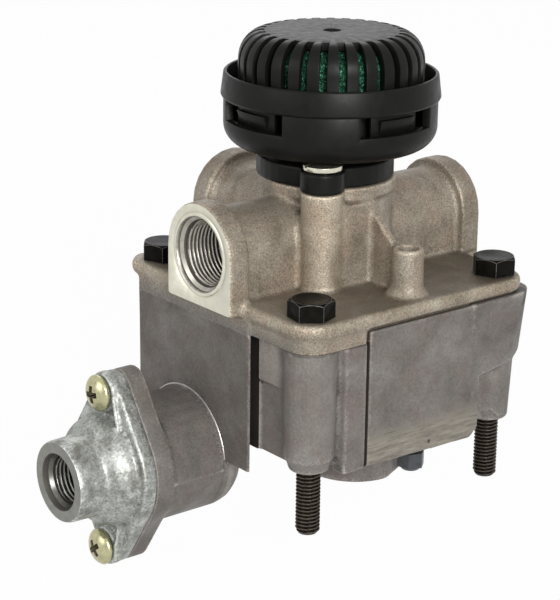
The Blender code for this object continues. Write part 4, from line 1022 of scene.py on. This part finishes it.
# camera as solved from the photograph, floor and lamps
cameraView = {"azimuth": -38.77, "elevation": 18.16, "roll": 0.73, "distance": 0.66139, "lens": 118.34,
              "aim": (-0.01218, 0.00978, 0.05362)}
az, el, roll = (radians(cameraView[k]) for k in ("azimuth", "elevation", "roll"))
back = Vector((sin(az) * cos(el), -cos(az) * cos(el), sin(el)))
side = Vector((cos(az), sin(az), 0))
above = back.cross(side)
right = side * cos(roll) + above * sin(roll)
top = above * cos(roll) - side * sin(roll)
lens = bpy.data.cameras.new("camera")
lens.lens = cameraView["lens"]
lens.sensor_width = 36
lens.clip_start = 0.01
camera = bpy.data.objects.new("camera", lens)
bpy.context.scene.collection.objects.link(camera)
turn = Matrix((right, top, back)).transposed().to_4x4()
camera.matrix_world = Matrix.Translation(Vector(cameraView["aim"]) + back * cameraView["distance"]) @ turn
bpy.context.scene.camera = camera

studio = {"floorHeight": cadLow.z - 0.2 * mm, "floorReach": 6.0, "floorTone": (0.80, 0.80, 0.80),
          "floorLight": 0.975, "sky": 0.26, "aim": (0, 0, 0.06)}
lamps = {
    "key": {"spot": (-0.47, -1.03, 0.47), "size": 0.45, "power": 14.2},
    "left": {"spot": (-1.05, 0.1, 0.5), "size": 0.6, "power": 3.5},
    "rear": {"spot": (0.5, 0.8, 0.7), "size": 0.6, "power": 1.6},
}


def backdropShader(tree, surface, white):
    # seen straight, in gloss or through glass it is white
    path = tree.nodes.new("ShaderNodeLightPath")
    seen = sums(tree, "MAXIMUM", path.outputs["Is Camera Ray"],
                sums(tree, "MAXIMUM", path.outputs["Is Glossy Ray"], path.outputs["Is Transmission Ray"]))
    glow = tree.nodes.new("ShaderNodeEmission")
    glow.inputs["Color"].default_value = (1, 1, 1, 1)
    glow.inputs["Strength"].default_value = 1
    mix = tree.nodes.new("ShaderNodeMixShader")
    tree.links.new(times(tree, seen, white), mix.inputs[0])
    tree.links.new(surface, mix.inputs[1])
    tree.links.new(glow.outputs[0], mix.inputs[2])
    return mix.outputs[0]


def makeFloor():
    bm = bmesh.new()
    bmesh.ops.create_grid(bm, x_segments=1, y_segments=1, size=studio["floorReach"])
    bmesh.ops.translate(bm, verts=bm.verts, vec=(0, 0, studio["floorHeight"]))
    floor = loose(bm, "floor")
    mat, tree, shader = startMaterial("floor", studio["floorTone"], 0.9, 0)
    shader.inputs["Specular IOR Level"].default_value = 0.0
    surface = backdropShader(tree, shader.outputs[0], studio["floorLight"])
    tree.links.new(surface, tree.nodes["Material Output"].inputs["Surface"])
    floor.data.materials.append(mat)


def makeWorld():
    world = bpy.data.worlds.new("studio")
    bpy.context.scene.world = world
    world.use_nodes = True
    tree = world.node_tree
    sky = tree.nodes["Background"]
    sky.inputs["Color"].default_value = (1, 1, 1, 1)
    sky.inputs["Strength"].default_value = studio["sky"]
    tree.links.new(backdropShader(tree, sky.outputs[0], 1.0), tree.nodes["World Output"].inputs["Surface"])


def makeLamps():
    for name, lamp in lamps.items():
        light = bpy.data.lights.new(name, "AREA")
        light.energy = lamp["power"]
        light.size = lamp["size"]
        holder = bpy.data.objects.new(name, light)
        bpy.context.scene.collection.objects.link(holder)
        holder.location = lamp["spot"]
        way = Vector(studio["aim"]) - Vector(lamp["spot"])
        holder.rotation_euler = way.to_track_quat("-Z", "Y").to_euler()


makeFloor()
makeWorld()
makeLamps()
bpy.context.scene.view_settings.view_transform = "Standard"
print("camera, floor and lamps done")
